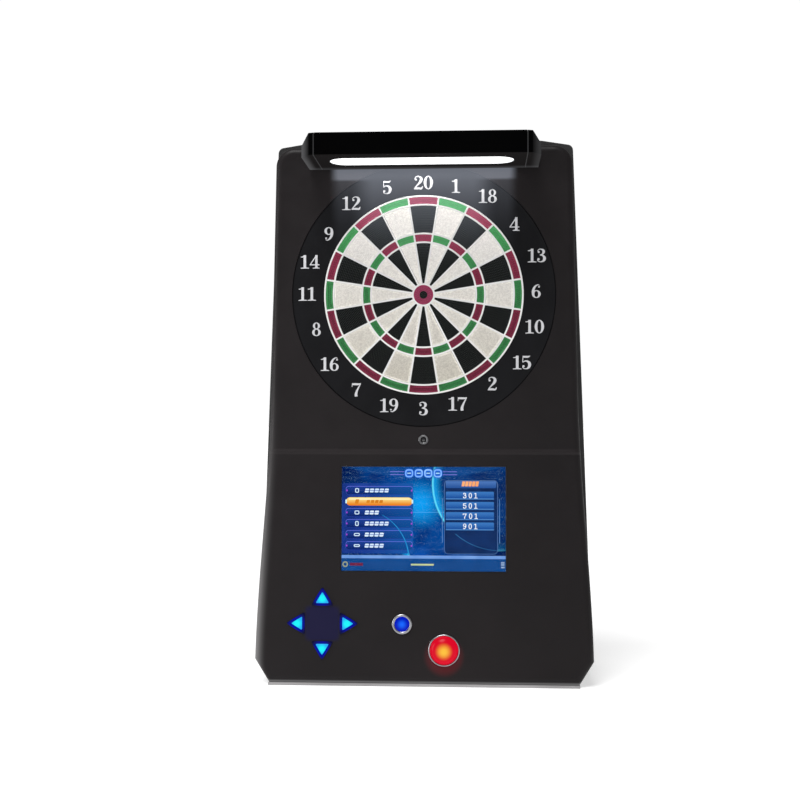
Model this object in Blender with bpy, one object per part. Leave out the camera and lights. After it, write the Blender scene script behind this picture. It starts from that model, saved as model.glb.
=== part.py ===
"""Head unit of an electronic dart machine, as separate solids in metres, +Z up, front towards -Y.

The origin is on the floor, under the middle of the unit. A depth is measured back from the upper front
face, and cabinet_frame stands on that face, so a depth is the local y of what is parented to it.
"""

import math

import bmesh
import bpy
from mathutils import Matrix, Vector

GAP = 0.0003  # between pieces that touch

# Cabinet
BODY_DEPTH = 0.250  # upper front face to the back of the cabinet
HOOD_REACH = 0.150  # the hood's front, ahead of the front face
BARREL_R = 0.004  # rear hinge
BARREL_OFFSET = 0.0043  # the rear hinge's axis, behind the back of the cabinet
FRONT_Y = (HOOD_REACH - BODY_DEPTH - BARREL_OFFSET - BARREL_R) / 2
BASE_THICK = 0.005
FLOOR_Z = BASE_THICK + GAP  # underside of the panel and of the shell

PANEL_TOP_Z = 1.0730
PANEL_TOP_HALF = 0.2965
PANEL_TAPER = 0.0214  # growth of the half width for each unit downwards
PANEL_FLARE = 0.0175  # further growth between FLARE_TOP_Z and CHAMFER_Z
FLARE_TOP_Z = 0.564
CHAMFER_Z = 0.050
CHAMFER_W = 0.028
PANEL_CORNER_R = 0.038
PANEL_EDGE_R = 0.014
PANEL_THICK = 0.003
PANEL_DEPTH = 0.070
FOLD_Z = 0.462
LEAN = math.radians(3.0)  # the panel below the fold comes forward towards its foot

SHELL_FOOT_HALF = 0.340
SHELL_TOP_HALF = 0.3017
SHELL_SHOULDER_Z = 1.0845
SHELL_CROWN_Z = 1.095
SHELL_CROWN_HALF = 0.236
SHELL_CORNER_R = 0.012
SHELL_THICK = 0.002

# Lamp hood
HOOD_LOW_Z = 1.0265
HOOD_HIGH_Z = 1.0697
HOOD_HALF = 0.201
HOOD_CAP_LENGTH = 0.0270
HOOD_WALL = 0.003
DIFFUSER_SIZE = (0.355, 0.066)
DIFFUSER_DEPTH = -0.080  # its middle

# Target
TARGET_Z = 0.775
SECTORS = 20
SPIDER_RINGS = (0.0214, 0.105, 0.1225, 0.180, 0.1975)  # middle radius of each ring of the web
WEB_HALF = 0.0016
WEB_FRONT, WEB_BACK = 0.0005, 0.0145
SEGMENT_GAP = 0.0004
SEGMENT_FRONT, SEGMENT_BACK = 0.0015, 0.0165
BULL_TRAVEL = 0.0015
INNER_BULL_R = 0.0077
NUMBER_RING_R = 0.262
ROUND_COUNT = 48  # sides of the number ring, and of the opening it fills
RING_FLANGE_R = 0.272
MAT_R = 0.205
BACKING_R = 0.268

# Camera eye
EYE_Z = 0.486
EYE_R = 0.00975

# On the lower panel, heights are measured down from the fold
SCREEN_SIZE = (0.328, 0.208)
SCREEN_DROP = 0.133
PAD_X, PAD_DROP = -0.2002, 0.3405
ARROW_BASE, ARROW_HEIGHT = 0.045, 0.037
ARROW_CLEARANCE = 0.035  # middle of the pad to the base of each arrow
ARROW_BAND = 0.005
BLUE_X, BLUE_DROP = -0.0417, 0.3405
RED_X, RED_DROP = 0.0413, 0.391
BLUE_SIZES = (0.0199, 0.0142, 0.0167, 0.0016)  # flange, cap and sleeve radius, and how far the cap rises
RED_SIZES = (0.0315, 0.0274, 0.0293, 0.0150)
SLEEVE_CLEARANCE = 0.0005
ARROW_TRAVEL = 0.002
BLUE_TRAVEL = 0.0025
RED_TRAVEL = 0.004

# Rear
DOOR_HALF = 0.230
DOOR_LOW_Z, DOOR_HIGH_Z = 0.135, 0.915
DOOR_GAP = 0.0022
DOOR_RIM = 0.015
HINGE_X = -0.234
HINGE_LOW_Z, HINGE_HIGH_Z = 0.165, 0.885
KNUCKLES = 5
PIN_R = 0.0015
LEAF_WIDTH = 0.024
LEAF_THICK = 0.0015
LOCK_X, LOCK_Z = 0.212, 0.525
FAN_Z = 0.986
FAN_HALF = 0.040
SPEAKER_X, SPEAKER_Z = 0.200, 0.070
SPEAKER_R = 0.0385
INLET_Z = 0.066
ROCKER_X = 0.016
ROCKER_TILT = math.radians(8.0)

FINISHES = {  # colour, roughness, metallic
    "panel": ((0.022, 0.020, 0.021), 0.42, 0.0),
    "steel_black": ((0.018, 0.017, 0.018), 0.5, 0.0),
    "steel_bare": ((0.45, 0.45, 0.46), 0.35, 1.0),
    "gloss_black": ((0.004, 0.004, 0.004), 0.12, 0.0),
    "opal": ((0.9, 0.9, 0.88), 0.4, 0.0),
    "ring_black": ((0.015, 0.015, 0.018), 0.6, 0.0),
    "web_white": ((0.8, 0.8, 0.78), 0.45, 0.0),
    "segment_red": ((0.16, 0.025, 0.05), 0.55, 0.0),
    "segment_cream": ((0.69, 0.64, 0.56), 0.55, 0.0),
    "rubber": ((0.03, 0.03, 0.03), 0.85, 0.0),
    "film": ((0.45, 0.32, 0.12), 0.4, 0.0),
    "board_wood": ((0.35, 0.25, 0.15), 0.7, 0.0),
    "glass_dark": ((0.01, 0.012, 0.02), 0.05, 0.0),
    "circuit": ((0.01, 0.09, 0.04), 0.5, 0.0),
    "chrome": ((0.75, 0.75, 0.77), 0.08, 1.0),
    "lamp_blue": ((0.01, 0.08, 0.85), 0.2, 0.0),
    "lamp_cyan": ((0.02, 0.55, 0.95), 0.2, 0.0),
    "lamp_red": ((0.85, 0.04, 0.02), 0.15, 0.0),
    "plastic_black": ((0.02, 0.02, 0.022), 0.5, 0.0),
}


def clear_scene():
    for obj in list(bpy.data.objects):
        bpy.data.objects.remove(obj)


def finish(name, kind):
    colour, roughness, metallic = FINISHES[kind]
    made = bpy.data.materials.new(name)
    made.use_nodes = True
    shader = made.node_tree.nodes["Principled BSDF"]
    shader.inputs["Base Color"].default_value = (*colour, 1.0)
    shader.inputs["Roughness"].default_value = roughness
    shader.inputs["Metallic"].default_value = metallic
    return made


def empty(name, parent=None, location=(0, 0, 0), rotation=(0, 0, 0)):
    made = bpy.data.objects.new(name, None)
    bpy.context.scene.collection.objects.link(made)
    made.parent = parent
    made.location = location
    made.rotation_euler = rotation
    return made


def piece(name, mesh, kind, parent, location=(0, 0, 0), rotation=(0, 0, 0)):
    """One sub-part, from a bmesh in its parent's frame."""
    data = bpy.data.meshes.new(name)
    mesh.to_mesh(data)
    mesh.free()
    data.shade_smooth()
    data.set_sharp_from_angle(angle=math.radians(32))
    made = bpy.data.objects.new(name, data)
    bpy.context.scene.collection.objects.link(made)
    made.parent = parent
    made.location = location
    made.rotation_euler = rotation
    data.materials.append(finish(name, kind))
    return made


def combine(obj, operation, mesh, label="", parent=None):
    """Cuts the mesh from the object, or adds it, by a Boolean with a hidden helper.

    The mesh is in the object's own frame, or in that of the parent given. A label sets a second helper of
    the same operation apart.
    """
    name = f"{obj.name}_{label or operation.lower()}"
    if parent:
        helper = piece(name, mesh, "steel_black", parent)
    else:
        helper = piece(name, mesh, "steel_black", obj.parent, obj.location, obj.rotation_euler)
    helper.hide_render = True
    helper.display_type = "WIRE"
    modifier = obj.modifiers.new(name, "BOOLEAN")
    modifier.operation = operation
    modifier.object = helper


# Outlines are lists of flat points, anticlockwise


def circle(radius, count, centre=(0, 0)):
    angles = [math.tau * i / count for i in range(count)]
    return [Vector((centre[0] + radius * math.cos(a), centre[1] + radius * math.sin(a))) for a in angles]


def rectangle(width, height, centre=(0, 0)):
    x, y = centre
    corners = ((-1, -1), (1, -1), (1, 1), (-1, 1))
    return [Vector((x + sx * width / 2, y + sy * height / 2)) for sx, sy in corners]


def rounded(corners, radius, steps=3):
    """The polygon with each corner turned into an arc."""
    points = []
    for i, corner in enumerate(corners):
        before = (corners[i - 1] - corner).normalized()
        after = (corners[(i + 1) % len(corners)] - corner).normalized()
        half = math.acos(max(-1.0, min(1.0, before.dot(after)))) / 2
        centre = corner + (before + after).normalized() * radius / math.sin(half)
        start = corner + before * radius / math.tan(half) - centre
        first = math.atan2(start.y, start.x)
        for s in range(steps + 1):
            angle = first + (math.pi - 2 * half) * s / steps
            points.append(centre + Vector((math.cos(angle), math.sin(angle))) * radius)
    return points


def inset(outline, distance):
    """The outline moved inwards, keeping its corners. Points on the fold stay at its height."""
    moved = []
    for i, point in enumerate(outline):
        before = (point - outline[i - 1]).normalized()
        after = (outline[(i + 1) % len(outline)] - point).normalized()
        along = (before + after).normalized()
        normal = Vector((-along.y, along.x))
        there = point + normal * distance / normal.dot(Vector((-before.y, before.x)))
        if abs(point.y - FOLD_Z) < GAP:
            there.y = FOLD_Z
        moved.append(there)
    return moved


def mirrored(right_side):
    """An outline from its right half, given from the bottom up."""
    return right_side + [Vector((-p.x, p.y)) for p in reversed(right_side)]


# Solids from outlines


def at_depth(outline, depth):
    return [Vector((p.x, depth, p.y)) for p in outline]


def at_height(outline, z):
    return [Vector((p.x, p.y, z)) for p in outline]


def at_side(outline, x):
    return [Vector((x, p.x, p.y)) for p in outline]


def loft(loops, ring=False):
    """A closed mesh through loops of equally many points. A ring joins its last loop to its first."""
    mesh = bmesh.new()
    rows = [[mesh.verts.new(point) for point in loop] for loop in loops]
    pairs = list(zip(rows, rows[1:]))
    if ring:
        pairs.append((rows[-1], rows[0]))
    else:
        mesh.faces.new(rows[0])
        mesh.faces.new(rows[-1])
    for one, two in pairs:
        for i in range(len(one)):
            mesh.faces.new((one[i - 1], one[i], two[i], two[i - 1]))
    bmesh.ops.recalc_face_normals(mesh, faces=mesh.faces)
    return mesh


def prism(outline, front, back):
    return loft([at_depth(outline, front), at_depth(outline, back)])


def turned(profile, count, ring=False, centre=(0, 0)):
    """A solid turned about a line along Y, from (radius, depth) pairs."""
    return loft([at_depth(circle(radius, count, centre), depth) for radius, depth in profile], ring)


def boxes(extents):
    """Separate boxes in one mesh, each from its lowest and highest corner."""
    mesh = bmesh.new()
    for low, high in extents:
        centre = (Vector(low) + Vector(high)) / 2
        size = Vector(high) - Vector(low)
        bmesh.ops.create_cube(mesh, size=1, matrix=Matrix.LocRotScale(centre, None, size))
    return mesh


def together(meshes):
    """Several meshes as one, for a helper that makes several cuts."""
    whole = bmesh.new()
    for mesh in meshes:
        data = bpy.data.meshes.new("part")
        mesh.to_mesh(data)
        mesh.free()
        whole.from_mesh(data)
        bpy.data.meshes.remove(data)
    return whole


# Cabinet


def panel_half_width(z):
    """A slight taper, with a smooth flare towards the foot."""
    share = min(max((FLARE_TOP_Z - z) / (FLARE_TOP_Z - CHAMFER_Z), 0.0), 1.0)
    flare = PANEL_FLARE * share * share * (3 - 2 * share)
    return PANEL_TOP_HALF + PANEL_TAPER * (PANEL_TOP_Z - z) + flare


def panel_outline():
    foot_half = panel_half_width(CHAMFER_Z) - CHAMFER_W
    below_fold, above_fold = 8, 2
    heights = [CHAMFER_Z + (FOLD_Z - CHAMFER_Z) * i / below_fold for i in range(below_fold)]
    heights += [FOLD_Z + (FLARE_TOP_Z - FOLD_Z) * i / above_fold for i in range(above_fold + 1)]
    corner_z = PANEL_TOP_Z - PANEL_CORNER_R
    corner_x = panel_half_width(corner_z) - PANEL_CORNER_R
    turn = 5
    angles = [math.pi / 2 * i / turn for i in range(turn + 1)]
    right = [Vector((foot_half, FLOOR_Z))]
    right += [Vector((panel_half_width(z), z)) for z in heights]
    right += [
        Vector((corner_x + PANEL_CORNER_R * math.cos(a), corner_z + PANEL_CORNER_R * math.sin(a)))
        for a in angles
    ]
    return mirrored(right)


def leaning(outline, depth):
    """The outline on the front, where everything below the fold comes forward."""
    return [Vector((p.x, depth - math.tan(LEAN) * max(FOLD_Z - p.y, 0.0), p.y)) for p in outline]


def front_panel_mesh():
    """A shell with a rounded front edge, a flat upper face and a leaning lower face."""
    outline = panel_outline()
    rim = PANEL_DEPTH - GAP
    turn = 3
    loops = [at_depth(inset(outline, PANEL_THICK), rim), at_depth(outline, rim)]
    for i in range(turn + 1):
        angle = math.pi / 2 * i / turn
        inwards = PANEL_EDGE_R * (1 - math.cos(angle))
        loops.append(leaning(inset(outline, inwards), PANEL_EDGE_R * (1 - math.sin(angle))))
    inner = [
        leaning(inset(outline, PANEL_EDGE_R), PANEL_THICK),
        leaning(inset(outline, PANEL_THICK), PANEL_EDGE_R),
    ]
    mesh = bmesh.new()
    rows = [[mesh.verts.new(p) for p in loop] for loop in loops + inner]
    count = len(outline)
    faced = [rows[len(loops) - 1], rows[len(loops)]]
    for one, two in zip(rows, rows[1:] + rows[:1]):
        if one is faced[0]:
            continue
        for i in range(count):
            mesh.faces.new((one[i - 1], one[i], two[i], two[i - 1]))
    for row in faced:
        at_fold = [i for i in range(count) if abs(outline[i].y - FOLD_Z) < GAP]
        first, last = at_fold
        mesh.faces.new(row[first : last + 1])
        mesh.faces.new(row[last:] + row[: first + 1])
    bmesh.ops.recalc_face_normals(mesh, faces=mesh.faces)
    return mesh


def arrow_outline(offset=0.0):
    """A triangle pointing up, about the middle of its inscribed circle, shrunk by the offset."""
    side = math.hypot(ARROW_BASE / 2, ARROW_HEIGHT)
    inner_r = ARROW_BASE * ARROW_HEIGHT / (ARROW_BASE + 2 * side)
    share = (inner_r - offset) / inner_r
    corners = (
        (-ARROW_BASE / 2, -inner_r),
        (ARROW_BASE / 2, -inner_r),
        (0, ARROW_HEIGHT - inner_r),
    )
    return rounded([Vector(c) * share for c in corners], 0.0022 * share, 2)


def arrow_places():
    """Name, turn about the panel's normal, and place on the lower panel of each arrow button."""
    side = math.hypot(ARROW_BASE / 2, ARROW_HEIGHT)
    reach = ARROW_CLEARANCE + ARROW_BASE * ARROW_HEIGHT / (ARROW_BASE + 2 * side)
    for name, angle in (("up", 0.0), ("right", 0.5), ("down", 1.0), ("left", 1.5)):
        turn = angle * math.pi
        yield name, turn, PAD_X + reach * math.sin(turn), -PAD_DROP + reach * math.cos(turn)


def turned_outline(outline, turn, x, z):
    """The outline as it lies once it is turned and placed on the lower panel."""
    c, s = math.cos(turn), math.sin(turn)
    return [Vector((x + p.x * c + p.y * s, z - p.x * s + p.y * c)) for p in outline]


def make_cabinet(frame, lower):
    panel = piece("front_panel", front_panel_mesh(), "panel", frame)
    cut_front, cut_back = -0.02, 0.02
    opening_r = NUMBER_RING_R + 0.0015
    eye_hole_r = EYE_R - 0.0016
    round_holes = [
        turned([(opening_r, cut_front), (opening_r, cut_back)], ROUND_COUNT, centre=(0, TARGET_Z)),
        turned([(eye_hole_r, cut_front), (eye_hole_r, cut_back)], 20, centre=(0, EYE_Z)),
    ]
    combine(panel, "DIFFERENCE", together(round_holes))
    screen_hole = rectangle(SCREEN_SIZE[0] + 0.001, SCREEN_SIZE[1] + 0.001, (0, -SCREEN_DROP))
    holes = [prism(screen_hole, cut_front, cut_back)]
    for name, turn, x, z in arrow_places():
        holes.append(prism(turned_outline(arrow_outline(0.0025), turn, x, z), cut_front, cut_back))
    for x, drop, sizes, count in ((BLUE_X, BLUE_DROP, BLUE_SIZES, 24), (RED_X, RED_DROP, RED_SIZES, 32)):
        hole_r = sizes[2] + SLEEVE_CLEARANCE
        holes.append(turned([(hole_r, cut_front), (hole_r, cut_back)], count, centre=(x, -drop)))
    combine(panel, "DIFFERENCE", together(holes), "lower_holes", lower)

    make_shell(frame)

    front = -math.tan(LEAN) * FOLD_Z + 0.0005
    front_half = panel_half_width(CHAMFER_Z) - CHAMFER_W
    back_half = shell_half_width(CHAMFER_Z) - CHAMFER_W
    plan = [
        Vector((-front_half, front)),
        Vector((front_half, front)),
        Vector((back_half, BODY_DEPTH)),
        Vector((-back_half, BODY_DEPTH)),
    ]
    base = loft([at_height(plan, 0.0), at_height(plan, BASE_THICK)])
    piece("base_plate", base, "steel_bare", frame)


def shell_half_width(z):
    return SHELL_FOOT_HALF + (SHELL_TOP_HALF - SHELL_FOOT_HALF) * z / SHELL_SHOULDER_Z


def shell_outline():
    corners = [
        Vector((shell_half_width(CHAMFER_Z) - CHAMFER_W, FLOOR_Z)),
        Vector((shell_half_width(CHAMFER_Z), CHAMFER_Z)),
        Vector((SHELL_TOP_HALF, SHELL_SHOULDER_Z)),
        Vector((SHELL_CROWN_HALF, SHELL_CROWN_Z)),
    ]
    soft = rounded(corners[1:] + [Vector((0, SHELL_CROWN_Z))], SHELL_CORNER_R, 4)
    shoulder = soft[5:10]
    return mirrored(corners[:2] + shoulder + corners[3:])


def slots_in_circle(centre, radius, width, pitch, upright):
    """Boxes across the back wall, as parallel slots that fill a circle."""
    made = []
    count = int(radius / pitch)
    for i in range(-count, count + 1):
        across = i * pitch
        reach = math.sqrt(radius**2 - across**2)
        half = (width / 2, reach) if upright else (reach, width / 2)
        x, z = (centre[0] + across, centre[1]) if upright else (centre[0], centre[1] + across)
        made.append(((x - half[0], 0.24, z - half[1]), (x + half[0], 0.26, z + half[1])))
    return made


def make_shell(frame):
    """A sheet-steel box with a front flange that closes the step to the panel, and an open back."""
    outline = shell_outline()
    shell = piece("cabinet_shell", prism(outline, PANEL_DEPTH, BODY_DEPTH), "steel_black", frame)
    inside = inset(outline, SHELL_THICK)
    combine(shell, "DIFFERENCE", prism(inside, PANEL_DEPTH + SHELL_THICK, BODY_DEPTH - SHELL_THICK))
    door_middle = (0, (DOOR_LOW_Z + DOOR_HIGH_Z) / 2)
    door_size = Vector((2 * DOOR_HALF, DOOR_HIGH_Z - DOOR_LOW_Z))
    opening = door_size + 2 * Vector((DOOR_GAP, DOOR_GAP))
    outer = opening + 2 * Vector((SHELL_THICK, SHELL_THICK))
    rim = [
        at_depth(rectangle(*outer, door_middle), BODY_DEPTH - SHELL_THICK / 2),
        at_depth(rectangle(*outer, door_middle), BODY_DEPTH - 0.018),
        at_depth(rectangle(*opening, door_middle), BODY_DEPTH - 0.018),
        at_depth(rectangle(*opening, door_middle), BODY_DEPTH - SHELL_THICK / 2),
    ]
    combine(shell, "UNION", loft(rim, ring=True))
    slots = slots_in_circle((0, FAN_Z), 0.036, 0.005, 0.0078, upright=True)
    for side in (-1, 1):
        slots += slots_in_circle((side * SPEAKER_X, SPEAKER_Z), 0.031, 0.0045, 0.0088, upright=False)
    holes = [
        prism(inset(panel_outline(), 0.010), PANEL_DEPTH - 0.01, PANEL_DEPTH + 0.01),
        prism(rectangle(*opening, door_middle), BODY_DEPTH - 0.01, BODY_DEPTH + 0.01),
        prism(rectangle(0.0535, 0.0395, (0, INLET_Z)), BODY_DEPTH - 0.01, BODY_DEPTH + 0.01),
        boxes(slots),
    ]
    combine(shell, "DIFFERENCE", together(holes), "openings")


# Lamp hood


def make_hood(frame):
    """A box-section housing whose back wall rises over the panel's top to a lip against the crown."""
    lip_back = PANEL_DEPTH - GAP
    lip_front = lip_back - HOOD_WALL
    lip_top = SHELL_CROWN_Z - 0.005
    bridge = PANEL_TOP_Z + 2 * GAP
    section = [
        Vector((-HOOD_REACH, HOOD_LOW_Z)),
        Vector((-GAP, HOOD_LOW_Z)),
        Vector((-GAP, bridge)),
        Vector((lip_back, bridge)),
        Vector((lip_back, lip_top)),
        Vector((lip_front, lip_top)),
        Vector((lip_front, bridge + HOOD_WALL)),
        Vector((-GAP - HOOD_WALL, bridge + HOOD_WALL)),
        Vector((-GAP - HOOD_WALL, HOOD_HIGH_Z)),
        Vector((-HOOD_REACH, HOOD_HIGH_Z)),
    ]
    ends = [at_side(section, -HOOD_HALF), at_side(section, HOOD_HALF)]
    housing = piece("hood_housing", loft(ends), "gloss_black", frame)
    inside = boxes(
        [
            (
                (-HOOD_HALF - 0.01, -HOOD_REACH + HOOD_WALL, HOOD_LOW_Z + HOOD_WALL),
                (HOOD_HALF + 0.01, -GAP - HOOD_WALL, HOOD_HIGH_Z - HOOD_WALL),
            )
        ]
    )
    combine(housing, "DIFFERENCE", inside)
    window = rounded(rectangle(*DIFFUSER_SIZE, (0, DIFFUSER_DEPTH)), 0.030, 4)
    opening = inset(window, -0.0005)
    hole = loft([at_height(opening, HOOD_LOW_Z - 0.01), at_height(opening, HOOD_LOW_Z + 0.01)])
    combine(housing, "DIFFERENCE", hole, "window")

    flange_low = HOOD_LOW_Z + HOOD_WALL + GAP
    diffuser = loft(
        [
            at_height(window, HOOD_LOW_Z - 0.0004),
            at_height(window, flange_low),
            at_height(inset(window, -0.005), flange_low),
            at_height(inset(window, -0.005), flange_low + 0.002),
        ]
    )
    piece("hood_diffuser", diffuser, "opal", frame)

    board_z = HOOD_HIGH_Z - HOOD_WALL - 0.008
    half_length, half_depth = 0.165, 0.034
    board = boxes(
        [
            (
                (-half_length, DIFFUSER_DEPTH - half_depth, board_z),
                (half_length, DIFFUSER_DEPTH + half_depth, board_z + 0.0016),
            )
        ]
    )
    led_board = piece("hood_led_board", board, "circuit", frame)
    columns = 8
    lamp_half, post_half = 0.0025, 0.004
    inside_board = board_z + 0.001
    roof = HOOD_HIGH_Z - HOOD_WALL - GAP
    added = []
    for i in range(columns):
        x = (i - (columns - 1) / 2) * 2 * half_length / columns
        for side in (-1, 1):
            y = DIFFUSER_DEPTH + side * half_depth / 2
            low = (x - lamp_half, y - lamp_half, board_z - 0.0012)
            added.append((low, (x + lamp_half, y + lamp_half, inside_board)))
    for side in (-1, 1):
        x = side * half_length * 0.9
        low = (x - post_half, DIFFUSER_DEPTH - post_half, inside_board)
        added.append((low, (x + post_half, DIFFUSER_DEPTH + post_half, roof)))
    combine(led_board, "UNION", boxes(added))

    for name, side in (("left", -1), ("right", 1)):
        inner = HOOD_HALF + GAP
        middle = inner + HOOD_CAP_LENGTH * 0.4
        outer = inner + HOOD_CAP_LENGTH
        spans = (
            (inner, -HOOD_REACH, HOOD_HIGH_Z),
            (middle, -HOOD_REACH + 0.004, HOOD_HIGH_Z),
            (outer, -HOOD_REACH + 0.028, HOOD_HIGH_Z - 0.020),
        )
        loops = []
        for x, front, top in spans:
            corners = ((front, HOOD_LOW_Z), (-GAP, HOOD_LOW_Z), (-GAP, top), (front, top))
            loops.append(at_side([Vector(corner) for corner in corners], side * x))
        piece(f"hood_end_cap_{name}", loft(loops), "gloss_black", frame)


# Target. A sector's middle is measured clockwise from the top.


def polar(radius, angle):
    return Vector((radius * math.sin(angle), radius * math.cos(angle)))


def round_points(radius, side_gap):
    """Three points for each sector, between one radial bar and the next."""
    points = []
    for sector in range(SECTORS):
        middle = math.tau * sector / SECTORS
        reach = math.pi / SECTORS - math.asin(side_gap / radius)
        points += [polar(radius, middle + share * reach) for share in (-1, 0, 1)]
    return points


def band_faces(mesh, inner, outer, indices):
    count = len(inner)
    faces = []
    for i in indices:
        following = (i + 1) % count
        faces.append(mesh.faces.new((inner[i], inner[following], outer[following], outer[i])))
    return faces


def raise_faces(mesh, faces, depth):
    """Extrudes the faces along Y."""
    made = bmesh.ops.extrude_face_region(mesh, geom=faces)["geom"]
    moved = [item for item in made if isinstance(item, bmesh.types.BMVert)]
    bmesh.ops.translate(mesh, verts=moved, vec=(0, depth, 0))
    return [item for item in made if isinstance(item, bmesh.types.BMFace)]


def spider_mesh():
    """Five rings joined by twenty radial bars."""
    mesh = bmesh.new()
    edges = [radius + side * WEB_HALF for radius in SPIDER_RINGS for side in (-1, 1)]
    rows = []
    for radius in edges:
        rows.append([mesh.verts.new((p.x, WEB_FRONT, p.y)) for p in round_points(radius, WEB_HALF)])
    count = 3 * SECTORS
    bars = range(2, count, 3)
    faces = []
    for i, (inner, outer) in enumerate(zip(rows, rows[1:])):
        faces += band_faces(mesh, inner, outer, range(count) if i % 2 == 0 else bars)
    raise_faces(mesh, faces, WEB_BACK - WEB_FRONT)
    bmesh.ops.recalc_face_normals(mesh, faces=mesh.faces)
    return mesh


def segment_group_mesh(ring):
    """Twenty segments that stand in the web's cells on a thin ring behind it."""
    side_gap = WEB_HALF + SEGMENT_GAP
    inner_r = SPIDER_RINGS[ring] + side_gap
    outer_r = SPIDER_RINGS[ring + 1] - side_gap
    mesh = bmesh.new()
    carrier = 0.0150
    inner = [mesh.verts.new((p.x, carrier, p.y)) for p in round_points(inner_r, side_gap)]
    outer = [mesh.verts.new((p.x, carrier, p.y)) for p in round_points(outer_r, side_gap)]
    faces = band_faces(mesh, inner, outer, range(3 * SECTORS))
    fronts = [face for i, face in enumerate(faces) if i % 3 != 2]
    raise_faces(mesh, faces, SEGMENT_BACK - carrier)
    raise_faces(mesh, fronts, SEGMENT_FRONT - carrier)
    bmesh.ops.delete(mesh, geom=fronts, context="FACES")
    bmesh.ops.recalc_face_normals(mesh, faces=mesh.faces)
    return mesh


def make_target(target):
    mat_front = SEGMENT_BACK + BULL_TRAVEL + GAP
    mat_back = mat_front + 0.003
    matrix_front = mat_back + GAP
    matrix_back = matrix_front + 0.001
    plate_front = matrix_back + GAP
    plate_back = plate_front + 0.004
    ring_inner = SPIDER_RINGS[-1] + WEB_HALF + 0.0006
    ring = [
        (ring_inner, 0.001),
        (NUMBER_RING_R, 0.001),
        (NUMBER_RING_R, PANEL_THICK + GAP),
        (RING_FLANGE_R, PANEL_THICK + GAP),
        (RING_FLANGE_R, plate_front - GAP),
        (MAT_R + 0.005, plate_front - GAP),
        (MAT_R + 0.005, SEGMENT_BACK),
        (ring_inner, SEGMENT_BACK),
    ]
    piece("number_ring", turned(ring, ROUND_COUNT, ring=True), "ring_black", target)
    piece("spider", spider_mesh(), "web_white", target)
    groups = (("inner_single_segments", "segment_cream"), ("triple_segments", "segment_red"))
    groups += (("outer_single_segments", "segment_cream"), ("double_segments", "segment_red"))
    for i, (name, kind) in enumerate(groups):
        piece(name, segment_group_mesh(i), kind, target)
    outer_r = SPIDER_RINGS[0] - WEB_HALF - SEGMENT_GAP
    hole_r = INNER_BULL_R + SEGMENT_GAP
    outer_bull = [(outer_r, 0.0010), (outer_r, SEGMENT_BACK), (hole_r, SEGMENT_BACK), (hole_r, 0.0010)]
    piece("outer_bull", turned(outer_bull, 24, ring=True), "segment_red", target)
    inner_bull = [(0.0043, 0.0014), (INNER_BULL_R, 0.0008), (INNER_BULL_R, SEGMENT_BACK)]
    piece("inner_bull", turned(inner_bull, 20), "plastic_black", target)
    sheets = (
        ("rubber_mat", "rubber", MAT_R, mat_front, mat_back),
        ("sensor_matrix", "film", MAT_R, matrix_front, matrix_back),
        ("backing_plate", "board_wood", BACKING_R, plate_front, plate_back),
    )
    for name, kind, radius, front, back in sheets:
        piece(name, turned([(radius, front), (radius, back)], 32), kind, target)

    clamp_front = plate_back + GAP
    clamp_inner, clamp_outer = 0.245, 0.282
    clamp = [
        (clamp_inner, clamp_front),
        (clamp_outer, clamp_front),
        (clamp_outer, clamp_front + 0.002),
        (clamp_inner, clamp_front + 0.002),
    ]
    clamp_ring = piece("target_clamp_ring", turned(clamp, 32, ring=True), "steel_bare", target)
    feet = []
    for sx in (-1, 1):
        for sz in (-1, 1):
            middle = Vector((sx, 0, sz)).normalized() * 0.2775
            half = Vector((0.003, 0, 0.003))
            low = middle - half
            high = middle + half
            feet.append(((low.x, PANEL_THICK + GAP, low.z), (high.x, clamp_front + 0.001, high.z)))
    combine(clamp_ring, "UNION", boxes(feet))
    return plate_back


# Camera eye and screen


def make_eye(frame):
    bezel = [
        (EYE_R, -GAP),
        (EYE_R, -0.0010),
        (EYE_R - 0.0008, -0.0018),
        (0.0062, -0.0014),
        (0.0058, 0.0010),
        (0.0058, 0.0125),
        (EYE_R - 0.0020, 0.0125),
        (EYE_R - 0.0020, -GAP),
    ]
    piece("camera_bezel", turned(bezel, 20, ring=True), "steel_bare", frame, (0, 0, EYE_Z))
    lens = [(0.0012, 0.0005), (0.0030, 0.0008), (0.0046, 0.0016), (0.0055, 0.0030), (0.0055, 0.0070)]
    piece("camera_lens", turned(lens, 16), "glass_dark", frame, (0, 0, EYE_Z))
    barrel = turned([(0.0052, 0.0073), (0.0052, 0.0140)], 16)
    module = piece("camera_module", barrel, "plastic_black", frame, (0, 0, EYE_Z))
    combine(module, "UNION", boxes([((-0.019, 0.0128, -0.013), (0.019, 0.0180, 0.013))]))


def circuit_board(name, parent, size, centre, front, parts):
    """A board on four posts that stands on whatever is at the depth given as its front.

    parts: x, z, width, height and rise of each block on its back.
    """
    thick = 0.0016
    posts = 0.012
    x, z = centre
    w, h = size
    plate_front = front + posts
    plate = [((x - w / 2, plate_front, z - h / 2), (x + w / 2, plate_front + thick, z + h / 2))]
    board = piece(name, boxes(plate), "circuit", parent)
    added = []
    for sx in (-1, 1):
        for sz in (-1, 1):
            px, pz = x + sx * (w / 2 - 0.006), z + sz * (h / 2 - 0.006)
            low = (px - 0.003, front, pz - 0.003)
            added.append((low, (px + 0.003, plate_front + thick / 2, pz + 0.003)))
    for dx, dz, width, height, rise in parts:
        low = (x + dx - width / 2, plate_front + thick / 2, z + dz - height / 2)
        high = (x + dx + width / 2, plate_front + thick + rise, z + dz + height / 2)
        added.append((low, high))
    combine(board, "UNION", boxes(added))


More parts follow.
